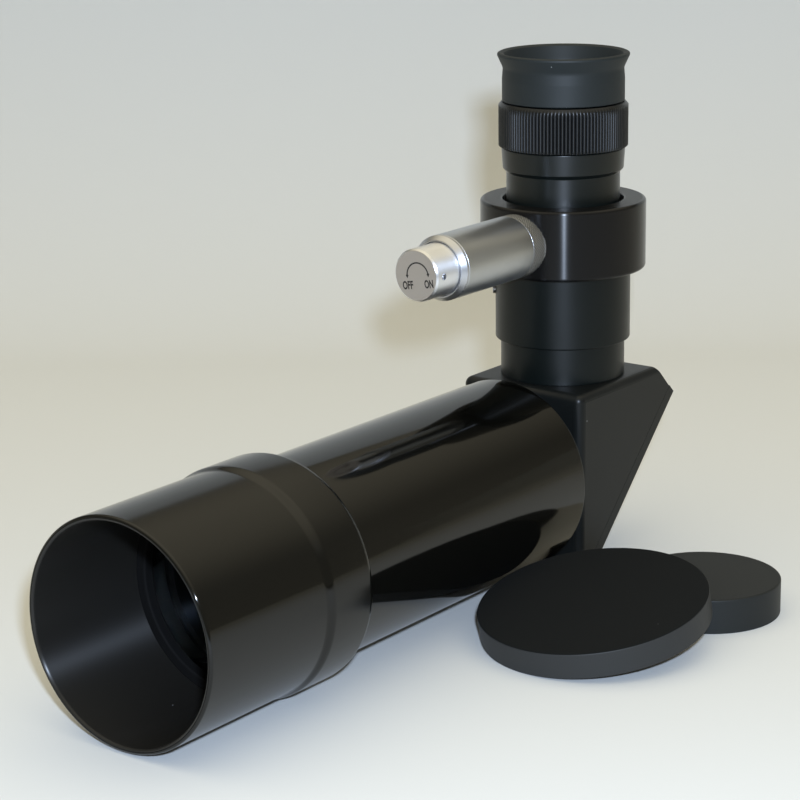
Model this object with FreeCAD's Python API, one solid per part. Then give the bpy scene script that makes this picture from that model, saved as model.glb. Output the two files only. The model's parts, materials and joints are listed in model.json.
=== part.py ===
"""Right angle finder: a small telescope whose view is turned upwards by a prism.

Lengths are in millimetres. The tube lies along X with the objective at the low end, and the eyepiece
stands along Z. The origin is on the tube's axis, in the middle of the stretch that a finder bracket grips.
Places along the tube are measured from the eyepiece's axis (post_x), because that is where the light turns.
"""
import FreeCAD, Part
import math
import os
from FreeCAD import Vector as V

# Driving sizes

# clearances between pieces
seat_gap = 0.3          # between a piece and the seat of another body
push_gap = 0.05         # radial, between two pieces that are screwed or pushed together
run_gap = 0.08          # radial, between a piece and the bore that it moves in

# where the light turns
post_x = 80.0           # from the middle of the bracket's grip to the eyepiece's axis

# main tube
tube_od = 54.5
tube_wall = 1.5
tube_end_back = 29.5    # rear end of the tube, measured back from the eyepiece's axis
tube_edge = 0.4

# objective cell with its dew shield
cell_end_back = 129.0   # rear end of the cell, measured back from the eyepiece's axis
hood_length = 36.4      # from the front rim to the lens retaining ring
hood_od = 59.0
hood_wall = 1.5
rim_edge = 0.35
band_wall = 3.0         # of the band, round the tube
band_length = 15.2
band_edge = 2.0
ogee_length = 3.2
tube_socket = 10.5      # length of tube inside the band
cell_ledge = 2.0
ledge_width = 0.9

# objective lens
lens_shoulder = 2.15    # from the lens's bore out to the hood's inside
crown_front_radius = 120.0
crown_back_radius = 90.0
crown_rim = 1.8
flint_rim = 6.3
lens_film = 0.05
retainer_length = 3.0
retainer_hold = 0.75    # how far the ring reaches in over the lens

# glare stops in the tube
stop_plate = 1.2
stop_skirt = 5.0
front_stop_back = 100.0
front_stop_hole = 41.0
rear_stop_back = 62.0
rear_stop_hole = 33.0

# tube adapter between tube and housing
adapter_depth = 7.5
adapter_bore = 31.0
adapter_wall = 2.5      # of the spigot in the housing
adapter_shoulder = 2.3  # from the spigot out to the neck
adapter_taper = 2.0

# prism housing
box_top = 23.8
box_front_back = 21.6   # front face, measured back from the eyepiece's axis
box_corner_sum = 42.75  # x + z on the top rear bevel, from the light's corner
box_slant = 15.0        # x - z on the slanted side
box_round = 2.4
side_wall = 4.0
cover_thickness = 3.6
cover_foot = 5.6        # x + z at the cover's lower end, above the floor's corner
cover_proud = 0.3
cover_edge = 0.4

# cover screws
screw_shank_dia = 2.5
screw_head_dia = 4.6
screw_head_height = 1.3
screw_length = 8.0
screw_side = 13.5
screw_upper_inset = 5.25    # in x + z, from the top bevel
screw_lower_inset = 3.4     # in x + z, from the cover's lower end
hole_spare = 0.5        # depth of a screw's hole beyond its end
hex_across = 1.6
cover_key_depth = 1.0

# roof prism
prism_size = 30.0
prism_gap = 0.3
prism_side_gap = 1.5
prism_mask = 1.5        # how far the entrance's rim masks the prism's face
prism_shelf = 1.0       # housing between the adapter and the prism's face
cavity_spare = 3.0      # in x + z, beyond the prism's ends
saddle_depth = 8.0
saddle_side_gap = 0.3
saddle_over = 1.0       # how far the saddle passes the prism's ends
saddle_trim = 0.2       # kept back from the prism's faces

# eyepiece neck and sleeve
neck_od = 35.8
neck_height = 10.8
neck_shoulder = 2.9     # from the neck in to its foot in the housing
neck_wall = 1.5
neck_clear = 0.7        # between the neck's foot and the prism's seat
neck_step = 0.9         # from the neck in to the spigot in the sleeve
neck_spigot = 6.4
sleeve_od = 38.9
sleeve_height = 20.4
sleeve_edge = 0.4
grub_dia = 3.0
grub_length = 4.2
grub_key_depth = 1.4
grub_height = 14.1      # above the sleeve's foot
grub_turns = (127.0, 7.0)

# nosepiece
nose_od = 31.75
nose_wall = 1.675
nose_drop = 12.6        # from the collar's underside down into the sleeve
nose_rise = 4.0

# illuminator collar
collar_od = 47.5
collar_height = 19.9
collar_edge = 0.8
collar_ledge = 3.0
collar_ledge_bore = 26.0
collar_recess_gap = 1.15    # round the barrel, at the collar's top
collar_recess = 3.2

# reticle
reticle_ring_height = 5.2
reticle_ring_bore = 21.0
reticle_glass_dia = 24.0
reticle_glass_thickness = 1.4
reticle_window_dia = 3.6

# eyepiece barrel
barrel_od = 32.5
barrel_visible = 7.7    # from the collar's top to the start of the flare
flare_height = 1.1
flange_inset = 0.8      # the flange's edge inside the ring's
flange_taper = 0.4
flange_height = 6.0
barrel_bore = 25.2
barrel_step = 0.65      # from the barrel in to its thread in the collar

# focus ring
focus_travel = 4.0
guide_dia = 2.4
guide_play = 0.2        # at each end of the slot
ring_od = 36.9
ring_wall = 3.27
ring_edge = 0.8
knurl_count = 110
knurl_depth = 0.4
knurl_crest = 0.02      # how far the ribs' points would pass the ring's outside
knurl_plain = 0.9
cam_depth = 1.1
cam_rim = 2.0
keeper_height = 1.1
keeper_width = 1.7
keeper_sink = 0.5       # from the ring's top down to the keeper

# lens tube that the ring lifts
eye_tube_wall = 1.35
eye_tube_lip = 0.8
eye_tube_drop = 14.5
eye_flange_od = 31.2
eye_flange = 2.6
field_lens_rim = 3.0
field_lens_low = 0.4
field_lens_high = 2.2
spacer_wall = 1.2
eye_lens_rim = 2.4
eye_lens_low = 1.9
eye_lens_high = 0.5
retainer_wall = 1.6
retainer_height = 2.4

# eyecup
cup_grip_wall = 1.75    # rubber round the lens tube's flange
cup_straight = 6.2
cup_waist = 0.25        # depth of the waist
cup_waist_height = 9.35
cup_bend = 1.0          # length of the waist's bend, each way
cup_flare = 1.325       # how far the lip stands out
cup_lip_height = 12.8
cup_top = 13.7
cup_lip_round = 0.8
cup_mouth_slope = 0.5
cup_lip_width = 1.825
cup_wall = 1.9
cup_web = 1.4
cup_web_bore = 25.0

# illuminator, measured outwards from the eyepiece's axis
lamp_height = 9.7       # above the collar's underside
lamp_spot_depth = 1.85
lamp_grip = 6.1         # knurled length outside the collar's spot face
lamp_thread_dia = 13.0
lamp_tip_gap = 1.3      # between the reticle's socket and the lamp holder's tip
lamp_neck_dia = 14.6
lamp_neck = 4.5
lamp_bore = 5.1
led_dia = 5.0
led_length = 7.0
led_sink = 0.6          # from the holder's tip to the lamp's
body_wall = 2.7
cell_dia = 11.6
cell_side_gap = 0.5
cell_thickness = 5.4
cell_count = 2
cell_gap = 0.1
spring_wire = 0.8
spring_coil_dia = 7.6
spring_turns = 3
spring_length = 4.0
cap_ring_length = 2.2
cap_ring_flat = 0.9
cap_ring_land = 0.4     # flat round the knob's groove
cap_ring_seat = 0.6
cap_ring_spigot = 4.0
switch_length = 7.0
shaft_dia = 4.0
shaft_depth = 1.5       # how far the shaft reaches into the switch
shaft_flat = 0.7        # depth of the flat that the grub screw bears on

# switch knob
knob_dia = 14.4
knob_length = 11.2
knob_edge = 0.5
knob_face = 2.2         # thickness of the knob's closed end
knob_grub_dia = 1.8
knob_grub_length = 4.6
knob_grub_back = 3.0    # from the knob's face to the grub screw
knob_grub_key = 0.9     # across the flats of its key hole, and its depth

# caps
cap_fit = 0.25
big_cap_wall = 1.25
big_cap_height = 7.15
small_cap_wall = 1.45
small_cap_height = 9.6
cap_edge = 0.4
big_cap_back = 60.7     # centre of the large cap, measured back from the eyepiece's axis
cap_beside = 0.45       # between the large cap's edge and the tube
small_cap_ahead = 38.9  # from the large cap's centre to the small one's, along the tube
small_cap_aside = 11.0  # and away from the tube


def dome(radius, half_width):
    """Height of a ball's cap: radius - sqrt(radius^2 - half_width^2)."""
    return radius - math.sqrt(radius ** 2 - half_width ** 2)


def rise(radius, rim_r, at_r):
    """How far a ball's face stands out at at_r, measured from its rim at rim_r."""
    return dome(radius, rim_r) - dome(radius, at_r)


def ball_radius(bulge, rim_r):
    """Radius of the ball whose cap over rim_r is bulge high: (rim_r^2 + bulge^2) / (2 bulge)."""
    return (rim_r ** 2 + bulge ** 2) / (2 * bulge)


def ogee_turn(length, height):
    """Middle of the first arc of an S-curve of two equal arcs that starts and ends level.

    Each arc has the radius (length^2 + height^2) / (4 height), and turns by twice the middle's angle.
    """
    radius = (length ** 2 + height ** 2) / (4 * height)
    half_turn = math.asin(length / 2 / abs(radius)) / 2
    return abs(radius) * math.sin(half_turn), radius * (1 - math.cos(half_turn))


def bend(start, corner, end):
    """An arc step that rounds a corner: its middle is (start + 2 corner + end) / 4."""
    return (tuple((a + 2 * b + c) / 4 for a, b, c in zip(start, corner, end)), end)


# What follows from them

tube_r = tube_od / 2
socket_r = tube_r + push_gap
hood_r = hood_od / 2
hood_in = hood_r - hood_wall
band_r = socket_r + band_wall
floor_z = -max(hood_r, band_r)

tube_rear = post_x - tube_end_back
lens_bore = hood_in - lens_shoulder
objective_r = lens_bore - push_gap
cell_rear = post_x - cell_end_back
tube_front = cell_rear - tube_socket
ledge_front = tube_front - cell_ledge
lens_front = ledge_front - flint_rim - lens_film - crown_rim
retainer_in = objective_r - retainer_hold
retainer_back = lens_front - lens_film - rise(crown_front_radius, objective_r, retainer_in)
ring_front = retainer_back - retainer_length
hood_front = ring_front - hood_length

half_prism = prism_size / 2
prism_seat = half_prism + prism_gap
box_half_width = half_prism + prism_side_gap + side_wall
box_front = post_x - box_front_back
cover_inner = box_slant - cover_thickness * math.sqrt(2)
neck_z = box_top
sleeve_z = neck_z + neck_height
collar_z = sleeve_z + sleeve_height + seat_gap
collar_top = collar_z + collar_height
lamp_z = collar_z + lamp_height
recess_z = collar_top - collar_recess
flare_z = collar_top + barrel_visible
flange_z = flare_z + flare_height
ring_z = flange_z + flange_height + seat_gap
barrel_r = barrel_od / 2
socket_rad = barrel_r - barrel_step
ring_r = ring_od / 2
ring_bore = ring_r - ring_wall
barrel_neck_r = ring_bore - run_gap
slot_width = guide_dia + 2 * run_gap
slot_low = ring_z + cam_rim
slot_high = slot_low + slot_width + focus_travel + 2 * guide_play
keeper_z = slot_high + cam_rim
ring_top = keeper_z + keeper_height + keeper_sink
cup_z = ring_top + seat_gap

lamp_r = cell_dia / 2 + cell_side_gap + body_wall
spot_start = collar_od / 2 - lamp_spot_depth
grip_end = spot_start + lamp_grip
cell_start = grip_end + lamp_neck + spring_length
switch_start = cell_start + cell_count * (cell_thickness + cell_gap)
body_end = switch_start + switch_length + cap_ring_spigot
cap_ring_end = body_end + cap_ring_length
knob_start = body_end + cap_ring_seat + seat_gap
knob_end = knob_start + knob_length


# Helpers

def closed_face(steps, to_point):
    """A flat face from a list of steps: (a, b) is a straight step, (mid, end) of pairs is an arc."""
    edges = []
    start = steps[0]
    here = start
    for step in list(steps[1:]) + [start]:
        if isinstance(step[0], tuple):
            mid, end = step
            edges.append(Part.Arc(to_point(*here), to_point(*mid), to_point(*end)).toShape())
        else:
            end = step
            if math.dist(here, end) > 1e-7:
                edges.append(Part.makeLine(to_point(*here), to_point(*end)))
        here = end
    return Part.Face(Part.Wire(edges))


def turned_x(steps):
    """A body turned about the tube's axis. Steps are (x, radius)."""
    face = closed_face(steps, lambda a, r: V(a, 0, r))
    return face.revolve(V(0, 0, 0), V(1, 0, 0), 360)


def turned_z(steps):
    """A body turned about the eyepiece's axis. Steps are (radius, z)."""
    face = closed_face(steps, lambda r, z: V(post_x + r, 0, z))
    return face.revolve(V(post_x, 0, 0), V(0, 0, 1), 360)


def turned_lamp(steps):
    """A body turned about the illuminator's axis. Steps are (distance from the post, radius)."""
    face = closed_face(steps, lambda s, r: V(post_x - s, 0, lamp_z + r))
    return face.revolve(V(post_x, 0, lamp_z), V(-1, 0, 0), 360)


def ring_x(start, end, outer, inner):
    return turned_x([(start, inner), (start, outer), (end, outer), (end, inner)])


def rod(radius, length, base, direction):
    return Part.makeCylinder(radius, length, base, direction)


def side_plate(points, half_width):
    """A polygon in the XZ plane, given from the light's corner, carried from -half_width to +half_width."""
    corners = [V(post_x + x, -half_width, z) for x, z in points]
    face = Part.Face(Part.makePolygon(corners + corners[:1]))
    return face.extrude(V(0, 2 * half_width, 0))


def slant_point(total, difference):
    """The point where x + z and x - z have these values."""
    return ((total + difference) / 2, (total - difference) / 2)


def hex_socket(across, depth, base, direction):
    """A hexagonal key hole that sinks from base against direction."""
    radius = across / math.sqrt(3)
    corners = [V(radius * math.cos(math.radians(60 * i)), radius * math.sin(math.radians(60 * i)), 0)
               for i in range(7)]
    solid = Part.Face(Part.makePolygon(corners)).extrude(V(0, 0, -depth))
    solid.Placement = FreeCAD.Placement(base, FreeCAD.Rotation(V(0, 0, 1), direction))
    return solid


def save(name, shape):
    solids = shape.Solids
    kept = solids[0] if len(solids) == 1 else Part.makeCompound(solids)
    kept.exportStep("parts/" + name + ".step")


os.makedirs("parts", exist_ok=True)

# Objective cell: front hood, ogee, band and the socket that screws over the tube

ledge_r = objective_r - ledge_width
ogee_start = cell_rear - band_length - ogee_length
ogee_end = cell_rear - band_length
turn_x, turn_r = ogee_turn(ogee_length, band_r - hood_r)
round_start = (cell_rear - band_edge, band_r)
round_end = (cell_rear, band_r - band_edge)
lens_step = lens_front + seat_gap

objective_cell = turned_x([
    (hood_front, hood_in + rim_edge),
    (hood_front, hood_r - rim_edge),
    (hood_front + rim_edge, hood_r),
    (ogee_start, hood_r),
    ((ogee_start + turn_x, hood_r + turn_r), ((ogee_start + ogee_end) / 2, (hood_r + band_r) / 2)),
    ((ogee_end - turn_x, band_r - turn_r), (ogee_end, band_r)),
    round_start,
    bend(round_start, (cell_rear, band_r), round_end),
    (cell_rear, socket_r),
    (tube_front, socket_r),
    (tube_front, ledge_r),
    (ledge_front, ledge_r),
    (ledge_front, lens_bore),
    (lens_step, lens_bore),
    (lens_step, hood_in),
    (hood_front + rim_edge, hood_in),
])
save("objective_cell", objective_cell)

# Objective lens: a biconvex crown and a hollow-fronted flint that follows its back


def arc_to_axis(rim_x, pole_x, radius_to, from_axis):
    """An arc step between the rim and the axis, through the point a little past half way."""
    ball = ball_radius(abs(pole_x - rim_x), radius_to)
    half = radius_to / 2
    sign = 1 if pole_x > rim_x else -1
    mid_x = pole_x - sign * dome(ball, half)
    end = (rim_x, radius_to) if from_axis else (pole_x, 0.0)
    return ((mid_x, half), end)


crown_pole = lens_front - dome(crown_front_radius, objective_r)
crown_back = lens_front + crown_rim
crown_back_pole = crown_back + dome(crown_back_radius, objective_r)
crown_lens = turned_x([
    (crown_pole, 0.0),
    arc_to_axis(lens_front, crown_pole, objective_r, True),
    (crown_back, objective_r),
    arc_to_axis(crown_back, crown_back_pole, objective_r, False),
])
save("objective_crown_lens", crown_lens)

flint_front = crown_back + lens_film
flint_pole = crown_back_pole + lens_film
flint_lens = turned_x([
    (flint_pole, 0.0),
    arc_to_axis(flint_front, flint_pole, objective_r, True),
    (ledge_front, objective_r),
    (ledge_front, 0.0),
])
save("objective_flint_lens", flint_lens)

save("objective_retaining_ring", ring_x(ring_front, retainer_back, hood_in - push_gap, retainer_in))

# Main tube and what sits in it

tube_in = tube_r - tube_wall
main_tube = turned_x([
    (tube_front, tube_in),
    (tube_front, tube_r - tube_edge),
    (tube_front + tube_edge, tube_r),
    (tube_rear - tube_edge, tube_r),
    (tube_rear, tube_r - tube_edge),
    (tube_rear, tube_in),
])
save("main_tube", main_tube)


def glare_stop(back, hole):
    """A thin cup with a hole, pushed into the tube, plate to the front."""
    front = post_x - back
    outer = tube_in - push_gap
    return turned_x([
        (front, hole / 2),
        (front, outer),
        (front + stop_skirt, outer),
        (front + stop_skirt, outer - stop_plate),
        (front + stop_plate, outer - stop_plate),
        (front + stop_plate, hole / 2),
    ])


save("front_glare_stop", glare_stop(front_stop_back, front_stop_hole))
save("rear_glare_stop", glare_stop(rear_stop_back, rear_stop_hole))

adapter_in = adapter_bore / 2
spigot_r = adapter_in + adapter_wall
adapter_r = spigot_r + adapter_shoulder
spigot_end = post_x - prism_seat - prism_shelf - seat_gap
tube_adapter = turned_x([
    (tube_rear - adapter_depth, adapter_in + adapter_taper),
    (tube_rear - adapter_depth, tube_in - push_gap),
    (tube_rear, tube_in - push_gap),
    (tube_rear, adapter_r),
    (box_front, adapter_r),
    (box_front, spigot_r),
    (spigot_end, spigot_r),
    (spigot_end, adapter_in),
    (tube_rear - adapter_depth + adapter_taper, adapter_in),
])
save("tube_adapter", tube_adapter)

# Prism housing: a hollow casting with a slanted open side, closed by the rear cover

foot_z = floor_z
cover_low_sum = 2 * foot_z + box_slant + cover_foot
top_sum = slant_point(box_corner_sum, cover_inner)
low_inner = slant_point(cover_low_sum, cover_inner)
low_outer = slant_point(cover_low_sum, box_slant)
front = -box_front_back
shell = side_plate([
    (front, foot_z),
    (front, box_top),
    (box_corner_sum - box_top, box_top),
    top_sum,
    low_inner,
    low_outer,
    (foot_z + box_slant, foot_z),
], box_half_width)


def on_long_edge(edge, wanted):
    """True for a straight edge of the shell that passes the wanted test at both its ends."""
    return all(wanted(vertex.Point) for vertex in edge.Vertexes)


def near(value, target):
    return abs(value - target) < 1e-6


def is_side(point):
    return near(abs(point.y), box_half_width)


rounded = []
for edge in shell.Edges:
    on_front = on_long_edge(edge, lambda p: near(p.x, post_x + front) and is_side(p))
    on_top = on_long_edge(edge, lambda p: near(p.z, box_top) and is_side(p))
    across_top = on_long_edge(edge, lambda p: near(p.z, box_top) and near(p.x, post_x + front))
    if on_front or on_top or across_top:
        rounded.append(edge)
shell = shell.makeFillet(box_round, rounded)

cavity_sum = prism_size + cavity_spare
cavity = side_plate([
    (-prism_seat, prism_seat),
    (cavity_sum - prism_seat, prism_seat),
    slant_point(cavity_sum, cover_inner),
    slant_point(-cavity_sum, cover_inner),
    (-prism_seat, prism_seat - cavity_sum),
], box_half_width - side_wall)
east = V(1, 0, 0)
entrance = rod(spigot_r + push_gap, spigot_end + seat_gap - box_front, V(box_front, 0, 0), east)
entrance_stop = rod(half_prism - prism_mask, box_front_back, V(box_front, 0, 0), east)
neck_foot_r = neck_od / 2 - neck_shoulder
neck_hole = rod(neck_foot_r + push_gap, box_top - prism_seat, V(post_x, 0, prism_seat), V(0, 0, 1))


def screw_places():
    """Centres of the cover screws on the outer slanted side, with their direction inwards."""
    inward = V(-1, 0, 1).normalize()
    for total in (box_corner_sum - screw_upper_inset, cover_low_sum + screw_lower_inset):
        x, z = slant_point(total, box_slant)
        for side in (-screw_side, screw_side):
            yield V(post_x + x, side, z), inward


housing = shell.cut(cavity).cut(entrance).cut(entrance_stop).cut(neck_hole)
for place, inward in screw_places():
    housing = housing.cut(rod(screw_shank_dia / 2 + push_gap, screw_length + hole_spare, place, inward))
save("prism_housing", housing)

# Rear cover and its screws

cover_top_in = slant_point(box_corner_sum + cover_proud, cover_inner)
cover_top_out = slant_point(box_corner_sum + cover_proud, box_slant)
cover_foot_in = slant_point(cover_low_sum + cover_proud, cover_inner)
cover_foot_out = slant_point(cover_low_sum + cover_proud, box_slant)
cover = side_plate([cover_top_in, cover_top_out, cover_foot_out, cover_foot_in], box_half_width)
outer_edges = [edge for edge in cover.Edges
               if on_long_edge(edge, lambda p: near(p.x - post_x - p.z, box_slant))]
cover = cover.makeChamfer(cover_edge, outer_edges)
screws = []
for place, inward in screw_places():
    sink = Part.makeCone(screw_head_dia / 2, screw_shank_dia / 2, screw_head_height, place, inward)
    hole = rod(screw_shank_dia / 2 + push_gap, cover_thickness * 2, place, inward)
    wider = Part.makeCone(screw_head_dia / 2 + push_gap, screw_shank_dia / 2 + push_gap,
                          screw_head_height, place, inward)
    cover = cover.cut(hole).cut(wider)
    screw = sink.fuse(rod(screw_shank_dia / 2, screw_length, place, inward))
    screws.append(screw.cut(hex_socket(hex_across, cover_key_depth, place, inward * -1)))
save("rear_cover", cover)
save("cover_screws", Part.makeCompound(screws))

# Roof prism and the saddle that presses it home

block = side_plate([(-half_prism, half_prism), (-half_prism, -half_prism), (half_prism, half_prism)],
                   half_prism)


def along_ridge(points, reach):
    """A polygon across the roof's ridge, as (side, distance behind the ridge), carried along the ridge."""
    along = V(1, 0, 1).normalize()
    behind = V(1, 0, -1).normalize()
    corner = V(post_x, 0, 0)
    places = [corner - along * reach + V(0, side, 0) + behind * back for side, back in points]
    face = Part.Face(Part.makePolygon(places + places[:1]))
    return face.extrude(along * (2 * reach))


deep = prism_size * 2
roof = along_ridge([(0, 0), (half_prism, -half_prism), (half_prism, -deep), (-half_prism, -deep),
                    (-half_prism, -half_prism)], deep)
save("roof_prism", block.common(roof))

saddle_side = box_half_width - side_wall - saddle_side_gap
saddle_back = cover_inner / math.sqrt(2)
vee = prism_gap * math.sqrt(2)
saddle = along_ridge([(0, vee), (saddle_depth + vee, -saddle_depth), (saddle_side, -saddle_depth),
                      (saddle_side, saddle_back), (-saddle_side, saddle_back),
                      (-saddle_side, -saddle_depth), (-saddle_depth - vee, -saddle_depth)],
                     half_prism * math.sqrt(2) + saddle_over)
corner_gap = half_prism - saddle_trim
limits = side_plate([(-corner_gap, corner_gap), (deep, corner_gap), (deep, -deep), (-corner_gap, -deep)],
                    deep)
save("prism_saddle", saddle.common(limits))

# Eyepiece neck and sleeve

neck_r = neck_od / 2
neck_in = neck_foot_r - neck_wall
neck_spigot_r = neck_r - neck_step
neck_bottom = prism_seat + neck_clear
spigot_top = sleeve_z + neck_spigot
eyepiece_neck = turned_z([
    (neck_in, neck_bottom),
    (neck_foot_r, neck_bottom),
    (neck_foot_r, neck_z),
    (neck_r, neck_z),
    (neck_r, sleeve_z),
    (neck_spigot_r, sleeve_z),
    (neck_spigot_r, spigot_top),
    (neck_in, spigot_top),
])
save("eyepiece_neck", eyepiece_neck)

sleeve_top = sleeve_z + sleeve_height
sleeve_r = sleeve_od / 2
sleeve_in = nose_od / 2 + run_gap
sleeve = turned_z([
    (neck_spigot_r + push_gap, sleeve_z),
    (sleeve_r - sleeve_edge, sleeve_z),
    (sleeve_r, sleeve_z + sleeve_edge),
    (sleeve_r, sleeve_top - sleeve_edge),
    (sleeve_r - sleeve_edge, sleeve_top),
    (sleeve_in, sleeve_top),
    (sleeve_in, spigot_top),
    (neck_spigot_r + push_gap, spigot_top),
])
grubs = []
for turn in grub_turns:
    out = V(math.cos(math.radians(turn)), math.sin(math.radians(turn)), 0)
    middle = V(post_x, 0, sleeve_z + grub_height)
    tip = middle + out * (sleeve_in + push_gap)
    sleeve = sleeve.cut(rod(grub_dia / 2 + push_gap, sleeve_r, tip, out))
    grub = rod(grub_dia / 2, grub_length, tip, out)
    grubs.append(grub.cut(hex_socket(hex_across, grub_key_depth, tip + out * grub_length, out)))
save("eyepiece_sleeve", sleeve)
save("sleeve_grub_screws", Part.makeCompound(grubs))

# Nosepiece: the eyepiece's own tube, which turns in the sleeve

nose_bottom = collar_z - nose_drop
nose_top = collar_z + nose_rise
nose_r = nose_od / 2
nose_in = nose_r - nose_wall
save("nosepiece", turned_z([
    (nose_in, nose_bottom),
    (nose_r, nose_bottom),
    (nose_r, nose_top),
    (nose_in, nose_top),
]))

# Illuminator collar

collar_r = collar_od / 2
ledge_z = nose_top
socket_z = ledge_z + collar_ledge
recess_r = barrel_r + collar_recess_gap
collar = turned_z([
    (nose_r + push_gap, collar_z),
    (collar_r - collar_edge, collar_z),
    (collar_r, collar_z + collar_edge),
    (collar_r, collar_top - collar_edge),
    (collar_r - collar_edge, collar_top),
    (recess_r, collar_top),
    (recess_r, recess_z),
    (socket_rad, recess_z),
    (socket_rad, socket_z),
    (collar_ledge_bore / 2, socket_z),
    (collar_ledge_bore / 2, ledge_z),
    (nose_r + push_gap, ledge_z),
])
west = V(-1, 0, 0)
spot = rod(lamp_r + push_gap, collar_r, V(post_x - spot_start, 0, lamp_z), west)
lamp_hole_r = lamp_thread_dia / 2 + push_gap
hole_start = math.sqrt(socket_rad ** 2 - lamp_hole_r ** 2)
lamp_hole = rod(lamp_hole_r, collar_r - hole_start, V(post_x - hole_start, 0, lamp_z), west)
save("illuminator_collar", collar.cut(spot).cut(lamp_hole))

# Reticle ring with its light window, and the glass with the cross-hair

reticle_top = socket_z + reticle_ring_height
glass_z = lamp_z - reticle_glass_thickness / 2
glass_r = reticle_glass_dia / 2
reticle_ring = turned_z([
    (reticle_ring_bore / 2, socket_z),
    (socket_rad - push_gap, socket_z),
    (socket_rad - push_gap, reticle_top),
    (glass_r + push_gap, reticle_top),
    (glass_r + push_gap, glass_z),
    (reticle_ring_bore / 2, glass_z),
])
window = rod(reticle_window_dia / 2, socket_rad, V(post_x - glass_r, 0, lamp_z), west)
save("reticle_ring", reticle_ring.cut(window))
save("reticle_glass", rod(glass_r, reticle_glass_thickness, V(post_x, 0, glass_z), V(0, 0, 1)))

# Eyepiece barrel with the flange that carries the focus ring

bore_r = barrel_bore / 2
flange_top_r = ring_r - flange_inset
flange_top = flange_z + flange_height
barrel = turned_z([
    (bore_r, reticle_top),
    (socket_rad - push_gap, reticle_top),
    (socket_rad - push_gap, recess_z),
    (barrel_r, recess_z),
    (barrel_r, flare_z),
    (flange_top_r - flange_taper, flange_z),
    (flange_top_r, flange_top),
    (barrel_neck_r, flange_top),
    (barrel_neck_r, keeper_z),
    (bore_r, keeper_z),
])
slot = Part.makeBox(barrel_od, slot_width, slot_high - slot_low - slot_width,
                    V(post_x, -slot_width / 2, slot_low + slot_width / 2))
for end in (slot_low + slot_width / 2, slot_high - slot_width / 2):
    slot = slot.fuse(rod(slot_width / 2, barrel_od, V(post_x, 0, end), V(1, 0, 0)))
save("eyepiece_barrel", barrel.cut(slot))

# Focus ring: straight knurl outside, running bore and a cam recess inside

cam_r = ring_bore + cam_depth
keeper_r = ring_bore + keeper_width
focus_ring = turned_z([
    (ring_bore, ring_z),
    (ring_r - ring_edge, ring_z),
    (ring_r, ring_z + ring_edge),
    (ring_r, ring_top - ring_edge),
    (ring_r - ring_edge, ring_top),
    (keeper_r, ring_top),
    (keeper_r, keeper_z - seat_gap),
    (ring_bore, keeper_z - seat_gap),
    (ring_bore, slot_high),
    (cam_r, slot_high),
    (cam_r, slot_low),
    (ring_bore, slot_low),
])
rib_step = 2 * math.pi / knurl_count
star = []
for i in range(2 * knurl_count):
    radius = ring_r + knurl_crest if i % 2 == 0 else ring_r - knurl_depth
    angle = i * rib_step / 2
    star.append(V(post_x + radius * math.cos(angle), radius * math.sin(angle), ring_z + knurl_plain))
knurl_height = ring_top - ring_z - 2 * knurl_plain
ribbed = Part.Face(Part.makePolygon(star + star[:1])).extrude(V(0, 0, knurl_height))
band = rod(ring_r + knurl_depth, knurl_height, V(post_x, 0, ring_z + knurl_plain), V(0, 0, 1))
save("focus_ring", focus_ring.cut(band.cut(ribbed)))

save("ring_keeper", turned_z([
    (bore_r, keeper_z),
    (keeper_r - run_gap, keeper_z),
    (keeper_r - run_gap, keeper_z + keeper_height),
    (bore_r, keeper_z + keeper_height),
]))

# Lens tube, guide screw and the eyepiece's lenses

tube_out = bore_r - run_gap
lens_r = tube_out - eye_tube_wall
eye_bottom = cup_z - eye_tube_drop - field_lens_rim
eye_flange_r = eye_flange_od / 2
eye_top = cup_z + eye_flange
eye_tube = turned_z([
    (lens_r - eye_tube_lip, eye_bottom),
    (tube_out, eye_bottom),
    (tube_out, cup_z),
    (eye_flange_r, cup_z),
    (eye_flange_r, eye_top),
    (lens_r, eye_top),
    (lens_r, eye_bottom + eye_tube_lip),
    (lens_r - eye_tube_lip, eye_bottom + eye_tube_lip),
])
guide_r = guide_dia / 2
guide_z = slot_low + slot_width / 2 + guide_play
guide_start = V(post_x + lens_r + seat_gap, 0, guide_z)
guide_length = cam_r - seat_gap - lens_r - seat_gap
save("eye_lens_tube", eye_tube.cut(rod(guide_r + push_gap, tube_out, guide_start, east)))
save("guide_screw", rod(guide_r, guide_length, guide_start, east))


def lens(bottom, rim, radius, low_bulge, high_bulge):
    """A lens whose cylindrical rim starts at bottom, with a bulge below and above."""
    def bow(rim_z, pole_z):
        ball = ball_radius(abs(pole_z - rim_z), radius)
        sign = 1 if pole_z > rim_z else -1
        return (radius / 2, pole_z - sign * dome(ball, radius / 2))
    low_pole = bottom - low_bulge
    high_pole = bottom + rim + high_bulge
    return turned_z([
        (0.0, low_pole),
        (bow(bottom, low_pole), (radius, bottom)),
        (radius, bottom + rim),
        (bow(bottom + rim, high_pole), (0.0, high_pole)),
    ])


def stand_off(bulge, at_r):
    """How far a ring's edge at radius at_r is kept from a lens's rim by the bulge."""
    return lens_film + rise(ball_radius(bulge, lens_rad), lens_rad, at_r)


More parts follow.
